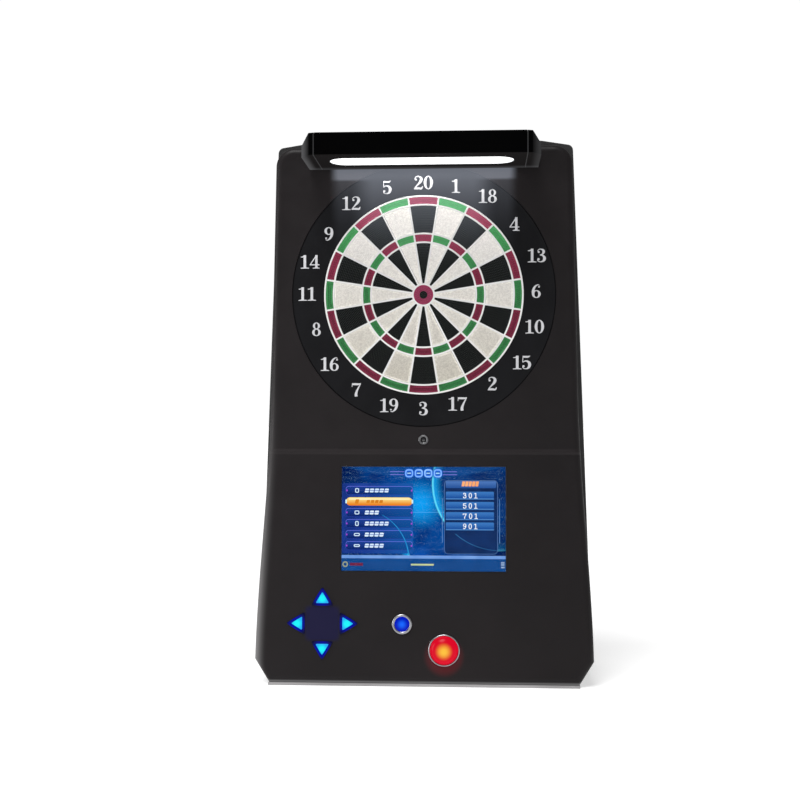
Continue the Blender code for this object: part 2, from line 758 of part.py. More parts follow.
def make_screen(lower):
    middle = (0, -SCREEN_DROP)
    glass = loft(
        [
            at_depth(rectangle(SCREEN_SIZE[0] - 0.001, SCREEN_SIZE[1] - 0.001, middle), 0.0005),
            at_depth(rectangle(*SCREEN_SIZE, middle), 0.0010),
            at_depth(rectangle(*SCREEN_SIZE, middle), 0.0036),
        ]
    )
    piece("screen_glass", glass, "glass_dark", lower)
    panel_size = (SCREEN_SIZE[0] + 0.016, SCREEN_SIZE[1] + 0.014)
    panel_back = 0.0120
    piece("lcd_panel", prism(rectangle(*panel_size, middle), 0.0040, panel_back), "plastic_black", lower)
    around = [size + 0.001 for size in panel_size]
    outside = [size + 0.008 for size in panel_size]
    window = [size - 0.050 for size in panel_size]
    frame = [
        at_depth(rectangle(*outside, middle), PANEL_THICK + GAP),
        at_depth(rectangle(*outside, middle), panel_back + 0.003),
        at_depth(rectangle(*window, middle), panel_back + 0.003),
        at_depth(rectangle(*window, middle), panel_back + GAP),
        at_depth(rectangle(*around, middle), panel_back + GAP),
        at_depth(rectangle(*around, middle), PANEL_THICK + GAP),
    ]
    piece("lcd_frame", loft(frame, ring=True), "steel_bare", lower)
    parts = (
        (-0.02, 0.01, 0.022, 0.022, 0.003),
        (0.035, -0.02, 0.02, 0.012, 0.006),
        (-0.04, -0.025, 0.016, 0.008, 0.005),
    )
    circuit_board("screen_driver_board", lower, (0.12, 0.08), middle, panel_back + GAP, parts)


# Buttons, in the lower panel's frame


def make_arrow_buttons(lower):
    for name, turn, x, z in arrow_places():
        place = {"location": (x, 0, z), "rotation": (0, turn, 0)}
        sleeve_back = 0.0162
        bezel = [
            at_depth(arrow_outline(0.0), -GAP),
            at_depth(arrow_outline(0.0), -0.0018),
            at_depth(arrow_outline(0.0012), -0.0030),
            at_depth(arrow_outline(ARROW_BAND), -0.0024),
            at_depth(arrow_outline(ARROW_BAND), sleeve_back),
            at_depth(arrow_outline(0.0030), sleeve_back),
            at_depth(arrow_outline(0.0030), -GAP),
        ]
        piece(f"arrow_bezel_{name}", loft(bezel, ring=True), "plastic_black", lower, **place)
        cap = [
            at_depth(arrow_outline(ARROW_BAND + 0.0018), -0.0038),
            at_depth(arrow_outline(ARROW_BAND + 0.0004), -0.0026),
            at_depth(arrow_outline(ARROW_BAND + 0.0004), sleeve_back - ARROW_TRAVEL - 0.0008),
        ]
        piece(f"arrow_button_{name}", loft(cap), "lamp_cyan", lower, **place)
        switch = [
            at_depth(arrow_outline(0.0030), sleeve_back + GAP),
            at_depth(arrow_outline(0.0030), sleeve_back + 0.004),
            at_depth(arrow_outline(0.0060), sleeve_back + 0.004),
            at_depth(arrow_outline(0.0060), sleeve_back + 0.020),
        ]
        piece(f"arrow_switch_{name}", loft(switch), "plastic_black", lower, **place)


def make_round_button(lower, name, place, sizes, travel, kinds):
    """Bezel, cap and switch body of a round button."""
    flange_r, cap_r, sleeve_r, rise = sizes
    count = 24
    sleeve_back = 0.0190
    crest = 0.25 * (flange_r - cap_r)
    bezel = [
        (flange_r, -GAP),
        (flange_r, -0.0012),
        (flange_r - crest, -0.0032),
        (cap_r + crest, -0.0036),
        (cap_r + 0.0004, -0.0022),
        (cap_r + 0.0004, sleeve_back),
        (sleeve_r, sleeve_back),
        (sleeve_r, -GAP),
    ]
    location = (place[0], 0, place[1])
    piece(f"{name}_bezel", turned(bezel, count, ring=True), "chrome", lower, location)
    steps = 4
    edge = -0.0024
    dome = []
    for i in range(steps + 1):
        angle = math.radians(80) * (1 - i / steps)
        dome.append((cap_r * math.cos(angle), edge - rise * math.sin(angle)))
    dome.append((cap_r, sleeve_back - travel - 0.0008))
    piece(f"{name}_cap", turned(dome, count), kinds, lower, location)
    body = [
        (sleeve_r, sleeve_back + GAP),
        (sleeve_r, sleeve_back + 0.005),
        (sleeve_r * 0.72, sleeve_back + 0.005),
        (sleeve_r * 0.72, sleeve_back + 0.026),
    ]
    piece(f"{name}_switch", turned(body, 16), "plastic_black", lower, location)


# Electronics and rear


def make_electronics(frame, target, plate_back):
    parts = (
        (-0.03, 0.02, 0.045, 0.045, 0.012),
        (0.06, 0.04, 0.03, 0.05, 0.010),
        (0.07, -0.05, 0.05, 0.018, 0.012),
        (-0.07, -0.05, 0.04, 0.018, 0.012),
        (0.0, -0.04, 0.03, 0.03, 0.003),
    )
    circuit_board("main_board", target, (0.24, 0.18), (0, 0), plate_back + GAP, parts)

    low = FLOOR_Z + SHELL_THICK + GAP
    case = boxes([((-0.235, 0.095, low), (-0.075, 0.195, low + 0.042))])
    supply = piece("power_supply", case, "steel_bare", frame)
    combine(supply, "DIFFERENCE", boxes([((-0.09, 0.10, low + 0.012), (-0.06, 0.19, low + 0.05))]))

    wall = BODY_DEPTH - SHELL_THICK - GAP
    cone = [
        (0.008, wall - 0.016),
        (0.032, wall - 0.003),
        (0.034, wall),
        (SPEAKER_R, wall),
        (SPEAKER_R, wall - 0.003),
        (0.033, wall - 0.004),
        (0.021, wall - 0.024),
        (0.021, wall - 0.038),
    ]
    for name, side in (("left", -1), ("right", 1)):
        place = (side * SPEAKER_X, 0, SPEAKER_Z)
        piece(f"speaker_{name}", turned(cone, 16), "plastic_black", frame, place)


def make_fan(frame):
    wall = BODY_DEPTH - SHELL_THICK - GAP
    front = wall - 0.025
    square = rounded(rectangle(2 * FAN_HALF, 2 * FAN_HALF), 0.005, 2)
    fan = piece("fan_frame", prism(square, front, wall), "plastic_black", frame, (0, 0, FAN_Z))
    bore_r = 0.038
    combine(fan, "DIFFERENCE", turned([(bore_r, front - 0.01), (bore_r, wall + 0.01)], 32))
    hub_r = 0.0165
    spokes = [((-bore_r - 0.001, front, -0.002), (bore_r + 0.001, front + 0.003, 0.002))]
    spokes_across = [((-0.002, front, -bore_r - 0.001), (0.002, front + 0.003, bore_r + 0.001))]
    combine(fan, "UNION", boxes(spokes))
    combine(fan, "UNION", boxes(spokes_across), "cross")

    axis = empty("fan_axis", frame, (0, 0, FAN_Z))
    hub = turned([(hub_r, front + 0.0035), (hub_r, wall - 0.0015)], 20)
    rotor = piece("fan_rotor", hub, "plastic_black", axis)
    blades = []
    count = 7
    for i in range(count):
        blade = boxes([((hub_r - 0.0015, -0.0009, -0.0095), (bore_r - 0.0012, 0.0009, 0.0095))])
        pitch = Matrix.Rotation(math.radians(38), 4, "X")
        turn = Matrix.Rotation(math.tau * i / count, 4, "Y")
        middle = Matrix.Translation((0, (front + wall) / 2 + 0.001, 0))
        bmesh.ops.transform(blade, matrix=middle @ turn @ pitch, verts=blade.verts)
        blades.append(blade)
    combine(rotor, "UNION", together(blades))


def make_power_inlet(frame):
    """A panel inlet beside a rocker switch, in one snap-in housing."""
    back = BODY_DEPTH + GAP
    housing = [
        at_depth(rectangle(0.053, 0.039), BODY_DEPTH - 0.026),
        at_depth(rectangle(0.053, 0.039), back),
        at_depth(rectangle(0.060, 0.046), back),
        at_depth(rectangle(0.058, 0.044), back + 0.0025),
    ]
    inlet = piece("power_inlet", loft(housing), "plastic_black", frame, (0, 0, INLET_Z))
    socket = boxes([((-0.0245, BODY_DEPTH - 0.016, -0.0115), (0.0, back + 0.01, 0.0115))])
    combine(inlet, "DIFFERENCE", socket)
    well_half, well_tall = 0.0075, 0.0135
    well_low = (ROCKER_X - well_half, BODY_DEPTH - 0.03, -well_tall)
    combine(inlet, "DIFFERENCE", boxes([(well_low, (ROCKER_X + well_half, back + 0.01, well_tall))]), "well")

    axis = empty("rocker_axis", frame, (ROCKER_X, BODY_DEPTH - 0.004, INLET_Z), (-ROCKER_TILT, 0, 0))
    profile = [
        Vector((0.0078, -0.0122)),
        Vector((0.0061, 0.0)),
        Vector((0.0078, 0.0122)),
        Vector((0.0, 0.0108)),
        Vector((-0.006, 0.004)),
        Vector((-0.006, -0.004)),
        Vector((0.0, -0.0108)),
    ]
    rocker = loft([at_side(profile, -0.0068), at_side(profile, 0.0068)])
    piece("power_rocker", rocker, "plastic_black", axis)


def make_hinge(frame, door_axis):
    """Two leaves with alternate knuckles on one pin. The leaves lie on the outside of the cabinet."""
    knuckle = (HINGE_HIGH_Z - HINGE_LOW_Z) / KNUCKLES
    bore_r = PIN_R + 0.0002
    leaf_front = BODY_DEPTH + GAP
    for name, parent, side, first in (("cabinet", frame, -1, 0), ("door", door_axis, 1, 1)):
        origin = Vector((HINGE_X, BODY_DEPTH + BARREL_OFFSET, 0)) if parent is frame else Vector((0, 0, 0))
        near, far = side * (BARREL_R + 0.0006), side * (BARREL_R + LEAF_WIDTH)
        depth = leaf_front - BODY_DEPTH - BARREL_OFFSET
        span = sorted((near, far))
        plate = boxes([((span[0], depth, HINGE_LOW_Z), (span[1], depth + LEAF_THICK, HINGE_HIGH_Z))])
        leaf = piece(f"hinge_leaf_{name}", plate, "steel_bare", parent, origin)
        tabs = []
        tubes = []
        for i in range(first, KNUCKLES, 2):
            low = HINGE_LOW_Z + i * knuckle + 0.0003
            high = HINGE_LOW_Z + (i + 1) * knuckle - 0.0003
            reach = sorted((side * 0.0022, side * (BARREL_R + 0.0016)))
            tab_low = (reach[0], depth + 0.0001, low + 0.0004)
            tabs.append((tab_low, (reach[1], depth + LEAF_THICK - 0.0001, high - 0.0004)))
            loops = [
                at_height(circle(BARREL_R, 12), low),
                at_height(circle(BARREL_R, 12), high),
                at_height(circle(bore_r, 12), high),
                at_height(circle(bore_r, 12), low),
            ]
            tubes.append(loft(loops, ring=True))
        combine(leaf, "UNION", boxes(tabs))
        combine(leaf, "UNION", together(tubes), "barrels")
    pin_section = circle(PIN_R, 12)
    pin = loft([at_height(pin_section, HINGE_LOW_Z - 0.002), at_height(pin_section, HINGE_HIGH_Z + 0.002)])
    piece("hinge_pin", pin, "steel_bare", frame, (HINGE_X, BODY_DEPTH + BARREL_OFFSET, 0))


def make_rear_door(frame):
    """A shallow folded tray with louvre slots, hung on the left hand side seen from the front."""
    door_axis = empty("rear_door_axis", frame, (HINGE_X, BODY_DEPTH + BARREL_OFFSET, 0))
    offset = Vector((-HINGE_X, -BODY_DEPTH - BARREL_OFFSET, 0))
    middle = (0, (DOOR_LOW_Z + DOOR_HIGH_Z) / 2)
    width, height = 2 * DOOR_HALF, DOOR_HIGH_Z - DOOR_LOW_Z
    thin = 0.0015
    tray = [
        at_depth(rectangle(width, height, middle), BODY_DEPTH),
        at_depth(rectangle(width, height, middle), BODY_DEPTH - DOOR_RIM),
        at_depth(rectangle(width - 2 * thin, height - 2 * thin, middle), BODY_DEPTH - DOOR_RIM),
        at_depth(rectangle(width - 2 * thin, height - 2 * thin, middle), BODY_DEPTH - thin),
    ]
    door = piece("rear_door", loft(tray), "steel_black", door_axis, offset)
    slots = []
    rows, pitch = 8, 0.016
    for block in (0.24, 0.70):
        for row in range(rows):
            z = block + row * pitch
            for side in (-1, 1):
                x = side * 0.095
                slots.append(((x - 0.065, BODY_DEPTH - 0.01, z), (x + 0.065, BODY_DEPTH + 0.01, z + 0.005)))
    hole_r = 0.0098
    hole_profile = [(hole_r, BODY_DEPTH - 0.01), (hole_r, BODY_DEPTH + 0.01)]
    lock_hole = turned(hole_profile, 20, centre=(LOCK_X, LOCK_Z))
    combine(door, "DIFFERENCE", together([boxes(slots), lock_hole]))

    lock_offset = offset + Vector((LOCK_X, 0, LOCK_Z))
    bore_r = 0.0062
    body = [
        (0.0120, BODY_DEPTH + GAP),
        (0.0120, BODY_DEPTH + 0.0020),
        (0.0105, BODY_DEPTH + 0.0035),
        (bore_r, BODY_DEPTH + 0.0035),
        (bore_r, BODY_DEPTH - 0.020),
        (0.0094, BODY_DEPTH - 0.020),
        (0.0094, BODY_DEPTH + GAP),
    ]
    piece("lock_body", turned(body, 16, ring=True), "chrome", door_axis, lock_offset)
    lock_axis = empty("lock_axis", door_axis, lock_offset)
    plug_r = bore_r - 0.0004
    plug = turned([(plug_r, BODY_DEPTH + 0.0030), (plug_r, BODY_DEPTH - 0.0220)], 20)
    cam_lock = piece("lock_plug", plug, "chrome", lock_axis)
    cam = boxes([((-0.007, BODY_DEPTH - 0.0235, -0.007), (0.007, BODY_DEPTH - 0.0212, 0.026))])
    combine(cam_lock, "UNION", cam)
    make_hinge(frame, door_axis)


def main():
    clear_scene()
    frame = empty("cabinet_frame", location=(0, FRONT_Y, 0))
    target = empty("target_frame", frame, (0, 0, TARGET_Z))
    lower = empty("lower_panel_frame", frame, (0, 0, FOLD_Z), (-LEAN, 0, 0))
    make_cabinet(frame, lower)
    make_hood(frame)
    plate_back = make_target(target)
    make_eye(frame)
    make_screen(lower)
    make_arrow_buttons(lower)
    make_round_button(lower, "blue_button", (BLUE_X, -BLUE_DROP), BLUE_SIZES, BLUE_TRAVEL, "lamp_blue")
    make_round_button(lower, "red_button", (RED_X, -RED_DROP), RED_SIZES, RED_TRAVEL, "lamp_red")
    make_electronics(frame, target, plate_back)
    make_fan(frame)
    make_power_inlet(frame)
    make_rear_door(frame)


main()
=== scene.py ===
"""Looks of an electronic dart machine's head unit, built round its CAD frame: metres, +Z up, front at -Y.

A depth is measured back from the upper front face. Meshes are made in three local frames, whose y is a depth,
and then moved into the row frame, so every object stands at the origin and its texture follows its body.
"""

import math

import bmesh
import bpy
from mathutils import Matrix, Vector
from mathutils.geometry import delaunay_2d_cdt, intersect_point_tri_2d


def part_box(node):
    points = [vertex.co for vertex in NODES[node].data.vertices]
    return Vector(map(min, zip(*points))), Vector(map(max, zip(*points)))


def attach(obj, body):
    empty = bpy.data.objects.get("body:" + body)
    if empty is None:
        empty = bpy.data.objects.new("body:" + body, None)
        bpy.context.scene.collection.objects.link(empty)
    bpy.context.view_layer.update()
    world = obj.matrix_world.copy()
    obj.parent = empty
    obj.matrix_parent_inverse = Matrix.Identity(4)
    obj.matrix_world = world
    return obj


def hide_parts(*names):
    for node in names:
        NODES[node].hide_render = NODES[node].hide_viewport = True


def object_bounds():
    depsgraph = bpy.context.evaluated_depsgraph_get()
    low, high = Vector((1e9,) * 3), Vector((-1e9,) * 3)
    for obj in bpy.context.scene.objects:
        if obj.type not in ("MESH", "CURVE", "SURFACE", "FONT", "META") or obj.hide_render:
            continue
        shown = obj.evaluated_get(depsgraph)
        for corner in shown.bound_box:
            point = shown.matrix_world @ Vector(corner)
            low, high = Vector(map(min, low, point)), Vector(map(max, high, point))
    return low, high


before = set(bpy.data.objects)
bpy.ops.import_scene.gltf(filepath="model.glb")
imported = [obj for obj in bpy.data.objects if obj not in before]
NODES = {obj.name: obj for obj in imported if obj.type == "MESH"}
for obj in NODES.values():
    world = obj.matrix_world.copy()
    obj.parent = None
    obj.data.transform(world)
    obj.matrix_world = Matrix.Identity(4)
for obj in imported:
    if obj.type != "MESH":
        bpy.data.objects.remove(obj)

CAD_LOW, CAD_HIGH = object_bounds()
GAP = 0.0003  # between pieces that touch


def middle(node):
    low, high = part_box(node)
    return (low + high) / 2


def half_size(node):
    low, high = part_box(node)
    return (high - low) / 2


# Cabinet
FRONT_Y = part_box("hood_end_cap_left")[1].y + GAP
BODY_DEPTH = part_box("cabinet_shell")[1].y - FRONT_Y
FLOOR_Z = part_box("front_panel")[0].z
PANEL_TOP_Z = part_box("front_panel")[1].z
PANEL_TOP_HALF = 0.2965
PANEL_TAPER = 0.0214  # growth of the half width for each unit downwards
PANEL_FLARE = 0.0175  # further growth between FLARE_TOP_Z and CHAMFER_Z
FLARE_TOP_Z = 0.564
CHAMFER_Z = 0.050
CHAMFER_W = 0.028
PANEL_CORNER_R = 0.038
PANEL_EDGE_R = 0.014
PANEL_THICK = 0.003
PANEL_DEPTH = 0.070
FOLD_Z = 0.462
FOLD_HALF = 0.006  # half height of the soft bead along the fold
FOLD_RISE = 0.0011
LEAN = math.radians(3.0)  # the panel below the fold comes forward towards its foot
SHELL_FOOT_HALF = 0.340
SHELL_TOP_HALF = 0.3017
SHELL_SHOULDER_Z = 1.0845
SHELL_CROWN_Z = CAD_HIGH.z
SHELL_CROWN_HALF = 0.236
SHELL_CORNER_R = 0.012
SHELL_THICK = 0.002
SHELL_BEND_R = 0.004
INLET_HOLE = (0.0535, 0.0395)

# Target
TARGET_Z = middle("number_ring").z
SECTORS = 20
NUMBERS = (20, 1, 18, 4, 13, 6, 10, 15, 2, 17, 3, 19, 7, 16, 8, 11, 14, 9, 12, 5)  # clockwise from the top
SPIDER_RINGS = (0.0214, 0.105, 0.1225, 0.180, 0.1975)  # middle radius of each ring of the web
WEB_HALF = 0.0016
SEGMENT_GAP = 0.0004
SEGMENT_FRONT, SEGMENT_BACK = 0.0015, 0.0160
NUMBER_RING_R = 0.262
# Radius, and degrees clockwise from the sector's middle, which the print follows only roughly
NUMERAL_PLACES = {
    20: (0.224, 0.0), 1: (0.226, -1.3), 18: (0.234, -2.8), 4: (0.229, -1.6), 13: (0.238, -0.8),
    6: (0.224, -1.5), 10: (0.230, -1.7), 15: (0.238, -1.3), 2: (0.224, -1.6), 17: (0.228, 0.6),
    3: (0.227, 0.0), 19: (0.231, -0.7), 7: (0.232, -0.7), 16: (0.233, -0.3), 8: (0.225, 0.4),
    11: (0.233, 0.7), 14: (0.237, -1.5), 9: (0.226, -3.0), 12: (0.234, -2.1), 5: (0.227, -0.5),
}
NUMERAL_HEIGHT = 0.0275
PIT_PITCH = 0.0039
PIT_R = 0.00145
PIT_SIDES = 8
PIT_DEPTH = 0.0050

# Lower panel, where heights are measured from the fold
SCREEN_SIZE = (0.328, 0.208)
SCREEN_DROP = 0.133
PAD_X, PAD_DROP = -0.2002, 0.3405
ARROW_BASE, ARROW_HEIGHT = 0.045, 0.037
ARROW_CLEARANCE = 0.035  # middle of the pad to the base of each arrow
ARROW_BAND = 0.005
BLUE_X, BLUE_DROP = middle("blue_button_bezel").x, 0.3405
RED_X, RED_DROP = middle("red_button_bezel").x, 0.391
EYE_Z = middle("camera_bezel").z

HOOD_LOW_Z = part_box("hood_housing")[0].z
HOOD_LIP_Z = HOOD_LOW_Z + 0.0006  # only the underside lies below this
LAMP_POOL_TOP = HOOD_LOW_Z - 0.008
LAMP_POOL_FALL = 0.200
LAMP_STRENGTH = 1.02
LAMP_WINDOW = (0.355, 0.066)
LAMP_WINDOW_R = 0.0325
UNLIT = (0.0, 0.0, 0.0)

UPPER = Matrix.Translation((0, FRONT_Y, 0))
TARGET = Matrix.Translation((0, FRONT_Y, TARGET_Z))
LOWER = Matrix.Translation((0, FRONT_Y, FOLD_Z)) @ Matrix.Rotation(-LEAN, 4, "X")


# Materials. Arithmetic on a Wire adds Math nodes.


class Wire:
    def __init__(self, tree, socket):
        self.tree = tree
        self.socket = socket

    def math(self, operation, *others):
        node = self.tree.nodes.new("ShaderNodeMath")
        node.operation = operation
        for slot, value in zip(node.inputs, (self, *others)):
            plug(value, slot, self.tree)
        return Wire(self.tree, node.outputs[0])

    def __add__(self, other):
        return self.math("ADD", other)

    def __sub__(self, other):
        return self.math("SUBTRACT", other)

    def __mul__(self, other):
        return self.math("MULTIPLY", other)

    def __truediv__(self, other):
        return self.math("DIVIDE", other)

    def off(self, place):
        """How far from a value."""
        return (self - place).math("ABSOLUTE")

    def between(self, low, high):
        """0 below low and 1 above high, smooth in between. Falls instead where low is above high."""
        node = self.tree.nodes.new("ShaderNodeMapRange")
        node.interpolation_type = "SMOOTHSTEP"
        plug(self, node.inputs["Value"], self.tree)
        falls = low > high
        node.inputs["From Min"].default_value = min(low, high)
        node.inputs["From Max"].default_value = max(low, high)
        node.inputs["To Min"].default_value = float(falls)
        node.inputs["To Max"].default_value = float(not falls)
        return Wire(self.tree, node.outputs["Result"])


def plug(value, slot, tree):
    if isinstance(value, Wire):
        tree.links.new(value.socket, slot)
    elif isinstance(value, tuple) and len(value) == 3 and len(slot.default_value) == 4:
        slot.default_value = (*value, 1.0)
    else:
        slot.default_value = value


class Surface:
    """A material with one Principled shader, whose own sockets hold whatever is the same all over."""

    def __init__(self, name, **settings):
        self.material = bpy.data.materials.new(name)
        self.material.use_nodes = True
        self.tree = self.material.node_tree
        self.shader = self.tree.nodes["Principled BSDF"]
        for socket, value in settings.items():
            self.set(socket.replace("_", " "), value)

    def set(self, socket, value):
        plug(value, self.shader.inputs[socket], self.tree)

    def glow(self, colour, strength=1.0):
        self.set("Emission Color", colour)
        self.set("Emission Strength", strength)

    def colour(self, socket="Base Color"):
        """What the colour is so far."""
        return Wire(self.tree, self.shader.inputs[socket].links[0].from_socket)

    def place(self):
        """x, y and z in the row frame at rest."""
        coordinates = self.tree.nodes.new("ShaderNodeTexCoord")
        split = self.tree.nodes.new("ShaderNodeSeparateXYZ")
        self.tree.links.new(coordinates.outputs["Object"], split.inputs[0])
        return [Wire(self.tree, output) for output in split.outputs]

    def away(self, x, z):
        """Distance from a line along Y."""
        here_x, _, here_z = self.place()
        across, along = here_x - x, here_z - z
        return (across * across + along * along).math("SQRT")

    def noise(self, scale, detail=3.0, stretch=(1.0, 1.0, 1.0)):
        coordinates = self.tree.nodes.new("ShaderNodeTexCoord")
        mapping = self.tree.nodes.new("ShaderNodeMapping")
        mapping.inputs["Scale"].default_value = stretch
        node = self.tree.nodes.new("ShaderNodeTexNoise")
        node.inputs["Scale"].default_value = scale
        node.inputs["Detail"].default_value = detail
        self.tree.links.new(coordinates.outputs["Object"], mapping.inputs["Vector"])
        self.tree.links.new(mapping.outputs["Vector"], node.inputs["Vector"])
        return Wire(self.tree, node.outputs[0])

    def mix(self, share, one, two, blend="MIX"):
        node = self.tree.nodes.new("ShaderNodeMix")
        node.data_type = "RGBA"
        node.blend_type = blend
        plug(share, node.inputs[0], self.tree)
        plug(one, node.inputs[6], self.tree)
        plug(two, node.inputs[7], self.tree)
        return Wire(self.tree, node.outputs[2])

    def bump(self, height, distance):
        node = self.tree.nodes.new("ShaderNodeBump")
        node.inputs["Distance"].default_value = distance
        plug(height, node.inputs["Height"], self.tree)
        self.set("Normal", Wire(self.tree, node.outputs["Normal"]))


def moulded(name, light, dark, roughness, grain=(900.0, 0.00004), patch=7.0, **settings):
    """Plastic, rubber or paint: patchy colour, uneven gloss and a fine moulded grain."""
    made = Surface(name, **settings)
    made.set("Base Color", made.mix(made.noise(patch, 5.0).between(0.32, 0.68), dark, light))
    low, high = roughness
    made.set("Roughness", made.noise(patch * 4.0, 6.0).between(0.3, 0.7) * (high - low) + low)
    scale, distance = grain
    made.bump(made.noise(scale, 2.0), distance)
    return made


def brushed(name, light, dark, roughness, stretch):
    """Bare or plated metal with a rolling direction and faint handling marks."""
    made = Surface(name, Metallic=1.0)
    streaks = made.noise(60.0, 4.0, stretch)
    marks = made.noise(9.0, 6.0).between(0.55, 0.75)
    made.set("Base Color", made.mix(streaks.between(0.35, 0.65), dark, light))
    low, high = roughness
    made.set("Roughness", streaks * (high - low) + marks * 0.12 + low)
    made.bump(streaks, 0.00003)
    return made.material


def add_glow(made, more=None):
    """Paints, as glow, the pool of light and sheen that the hood's lamp throws on dark surfaces, and adds any
    other painted light given.
    """
    x, _, z = made.place()
    foot = LAMP_POOL_TOP - LAMP_POOL_FALL
    rise = ((z - foot) / LAMP_POOL_FALL).math("MAXIMUM", 0.0).math("MINIMUM", 1.0)
    across = x.math("ABSOLUTE")
    core = across.between(0.150, 0.095)
    # A painted glare of the lamp: a bright band just below the hood
    line = z.between(LAMP_POOL_TOP - 0.017, LAMP_POOL_TOP - 0.009) * (core * -0.85 + 0.9)
    share = (rise * rise * (core * 0.72 + 0.28) + line) * across.between(0.190, 0.165)
    pool = made.mix(share, UNLIT, (0.140, 0.152, 0.180))
    made.glow(made.mix(1.0, pool, more, "ADD") if more else pool)


def panel_material():
    """Satin black sheet with painted light: the lit controls' spilt glow, painted highlights along its left
    edge, fold and foot, and painted shade towards its right side.
    """
    made = moulded(
        "satin_black_panel", (0.0124, 0.0101, 0.0108), (0.0102, 0.0084, 0.0090), (0.40, 0.52),
        Specular_IOR_Level=0.15,
    )
    x, _, z = made.place()
    # Painted highlight down the left edge, strongest towards the foot; flare and half give the edge's place
    flare = z.between(FLARE_TOP_Z, CHAMFER_Z) * PANEL_FLARE
    half = (z * -1.0 + PANEL_TOP_Z) * PANEL_TAPER + PANEL_TOP_HALF + flare
    near_edge = (x + half).between(0.028, 0.0)
    low_down = z.between(0.80, 0.05)
    edge = near_edge * near_edge * low_down * low_down
    # Painted highlights: a pale line along the fold's bead, and a pale band along the foot
    fold = z.off(FOLD_Z).between(0.0075, 0.0035)
    foot = z.between(0.0125, 0.0060)
    # Painted blue light from the arrow buttons, on the square between them
    across, along = x.off(PAD_X), z.off(FOLD_Z - PAD_DROP * math.cos(LEAN))
    square = across.math("MAXIMUM", along).between(ARROW_CLEARANCE + 0.004, ARROW_CLEARANCE - 0.006)
    pad = square * (across + along).between(0.074, 0.052)
    # Painted red light from the red button, on the panel below it
    under_red = FOLD_Z - RED_DROP * math.cos(LEAN) - 0.012
    painted_light = made.mix(made.away(RED_X, under_red).between(0.044, 0.026), UNLIT, (0.060, 0.0, 0.002))
    for share, colour in (
        (pad, (0.0, 0.0, 0.032)),
        (fold, (0.0062, 0.0052, 0.0055)),
        (foot, (0.150, 0.148, 0.150)),
        (edge, (0.200, 0.198, 0.200)),
    ):
        painted_light = made.mix(share, painted_light, colour)
    # Painted shade: darker towards the right side
    paint = made.mix(x.between(0.05, 0.26) * 0.30, made.colour(), (0.003, 0.002, 0.0024))
    # Darker under the painted blue light between the arrows
    made.set("Base Color", made.mix(pad * 0.45, paint, (0.001, 0.001, 0.001)))
    add_glow(made, painted_light)
    return made.material


def ring_material():
    made = moulded(
        "number_ring_black", (0.0068, 0.0068, 0.0080), (0.0052, 0.0052, 0.0062), (0.5, 0.64),
        (700.0, 0.00007), 22.0, Specular_IOR_Level=0.10,
    )
    # Painted pool of the hood lamp's light and sheen on the ring
    add_glow(made)
    return made.material


def lit_material(name, middle_colour, rim_colour, centre, reach):
    """A lit cap, brightest over its lamp, or a bezel with its cap's light painted on: centre is (x, z) in the
    row frame, reach the radii of the fall.
    """
    made = Surface(name, Base_Color=UNLIT, Roughness=0.22, Specular_IOR_Level=0.07)
    made.glow(made.mix(made.away(*centre).between(*reach), middle_colour, rim_colour))
    return made.material


def gloss_surface(name):
    """Gloss black. The hood's underside is matt, with painted light on it, paler near the panel, for the
    light that the panel sends back.
    """
    made = moulded(
        name, (0.0006, 0.0006, 0.0007), (0.0003, 0.0003, 0.0004), (0.10, 0.20), (300.0, 0.00002),
        Specular_IOR_Level=0.04,
    )
    _, y, z = made.place()
    under = z.between(HOOD_LIP_Z + 0.0006, HOOD_LIP_Z)
    made.set("Roughness", made.noise(28.0, 6.0) * 0.1 + under * 0.75 + 0.1)
    # Painted light on the underside, brightest next to the panel
    near_panel = y.between(FRONT_Y - 0.030, FRONT_Y - 0.006)
    pale = made.mix(near_panel, (0.0085, 0.0075, 0.0075), (0.036, 0.036, 0.038))
    made.glow(made.mix(under, UNLIT, pale))
    return made


def cap_material():
    """The hood's end caps: gloss black with a painted highlight along the seam and painted soft light on
    their outer ends, stronger on the left.
    """
    made = gloss_surface("gloss_black_cap")
    low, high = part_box("hood_end_cap_right")
    x, _, _ = made.place()
    across = x.math("ABSOLUTE")
    # Painted highlight along the seam, and painted light on the outer ends, stronger on the left cap
    seam = across.off(low.x + 0.0010).between(0.0012, 0.0004)
    left = x.between(0.0, -0.1) * 0.6 + 0.4
    shine = seam * 0.55 + across.between(low.x + 0.008, high.x) * left
    made.glow(made.mix(shine, made.colour("Emission Color"), (0.085, 0.085, 0.088)))
    return made.material


def opal_material():
    """A diffuser over rows of lamps, a little dimmer towards its ends."""
    made = Surface("lit_opal", Base_Color=(0.85, 0.85, 0.84), Roughness=0.45)
    x, _, _ = made.place()
    half = half_size("hood_diffuser").x
    inside = x.off(middle("hood_diffuser").x).between(half, half - 0.02)
    made.glow(made.mix(inside, (0.86, 0.92, 1.0), (0.97, 0.99, 1.0)), LAMP_STRENGTH)
    return made.material


def film_material():
    """Amber film printed with a grid of sensor traces."""
    made = Surface("sensor_film", Coat_Weight=0.3, Coat_Roughness=0.2, Roughness=0.42)
    x, _, z = made.place()
    pitch = 0.009
    lines = [(axis / pitch).math("FRACT").off(0.5).between(0.42, 0.47) for axis in (x, z)]
    traces = lines[0].math("MAXIMUM", lines[1])
    amber = made.mix(made.noise(20.0), (0.42, 0.22, 0.045), (0.52, 0.30, 0.07))
    made.set("Base Color", made.mix(traces, amber, (0.55, 0.55, 0.56)))
    made.bump(traces, 0.00006)
    return made.material


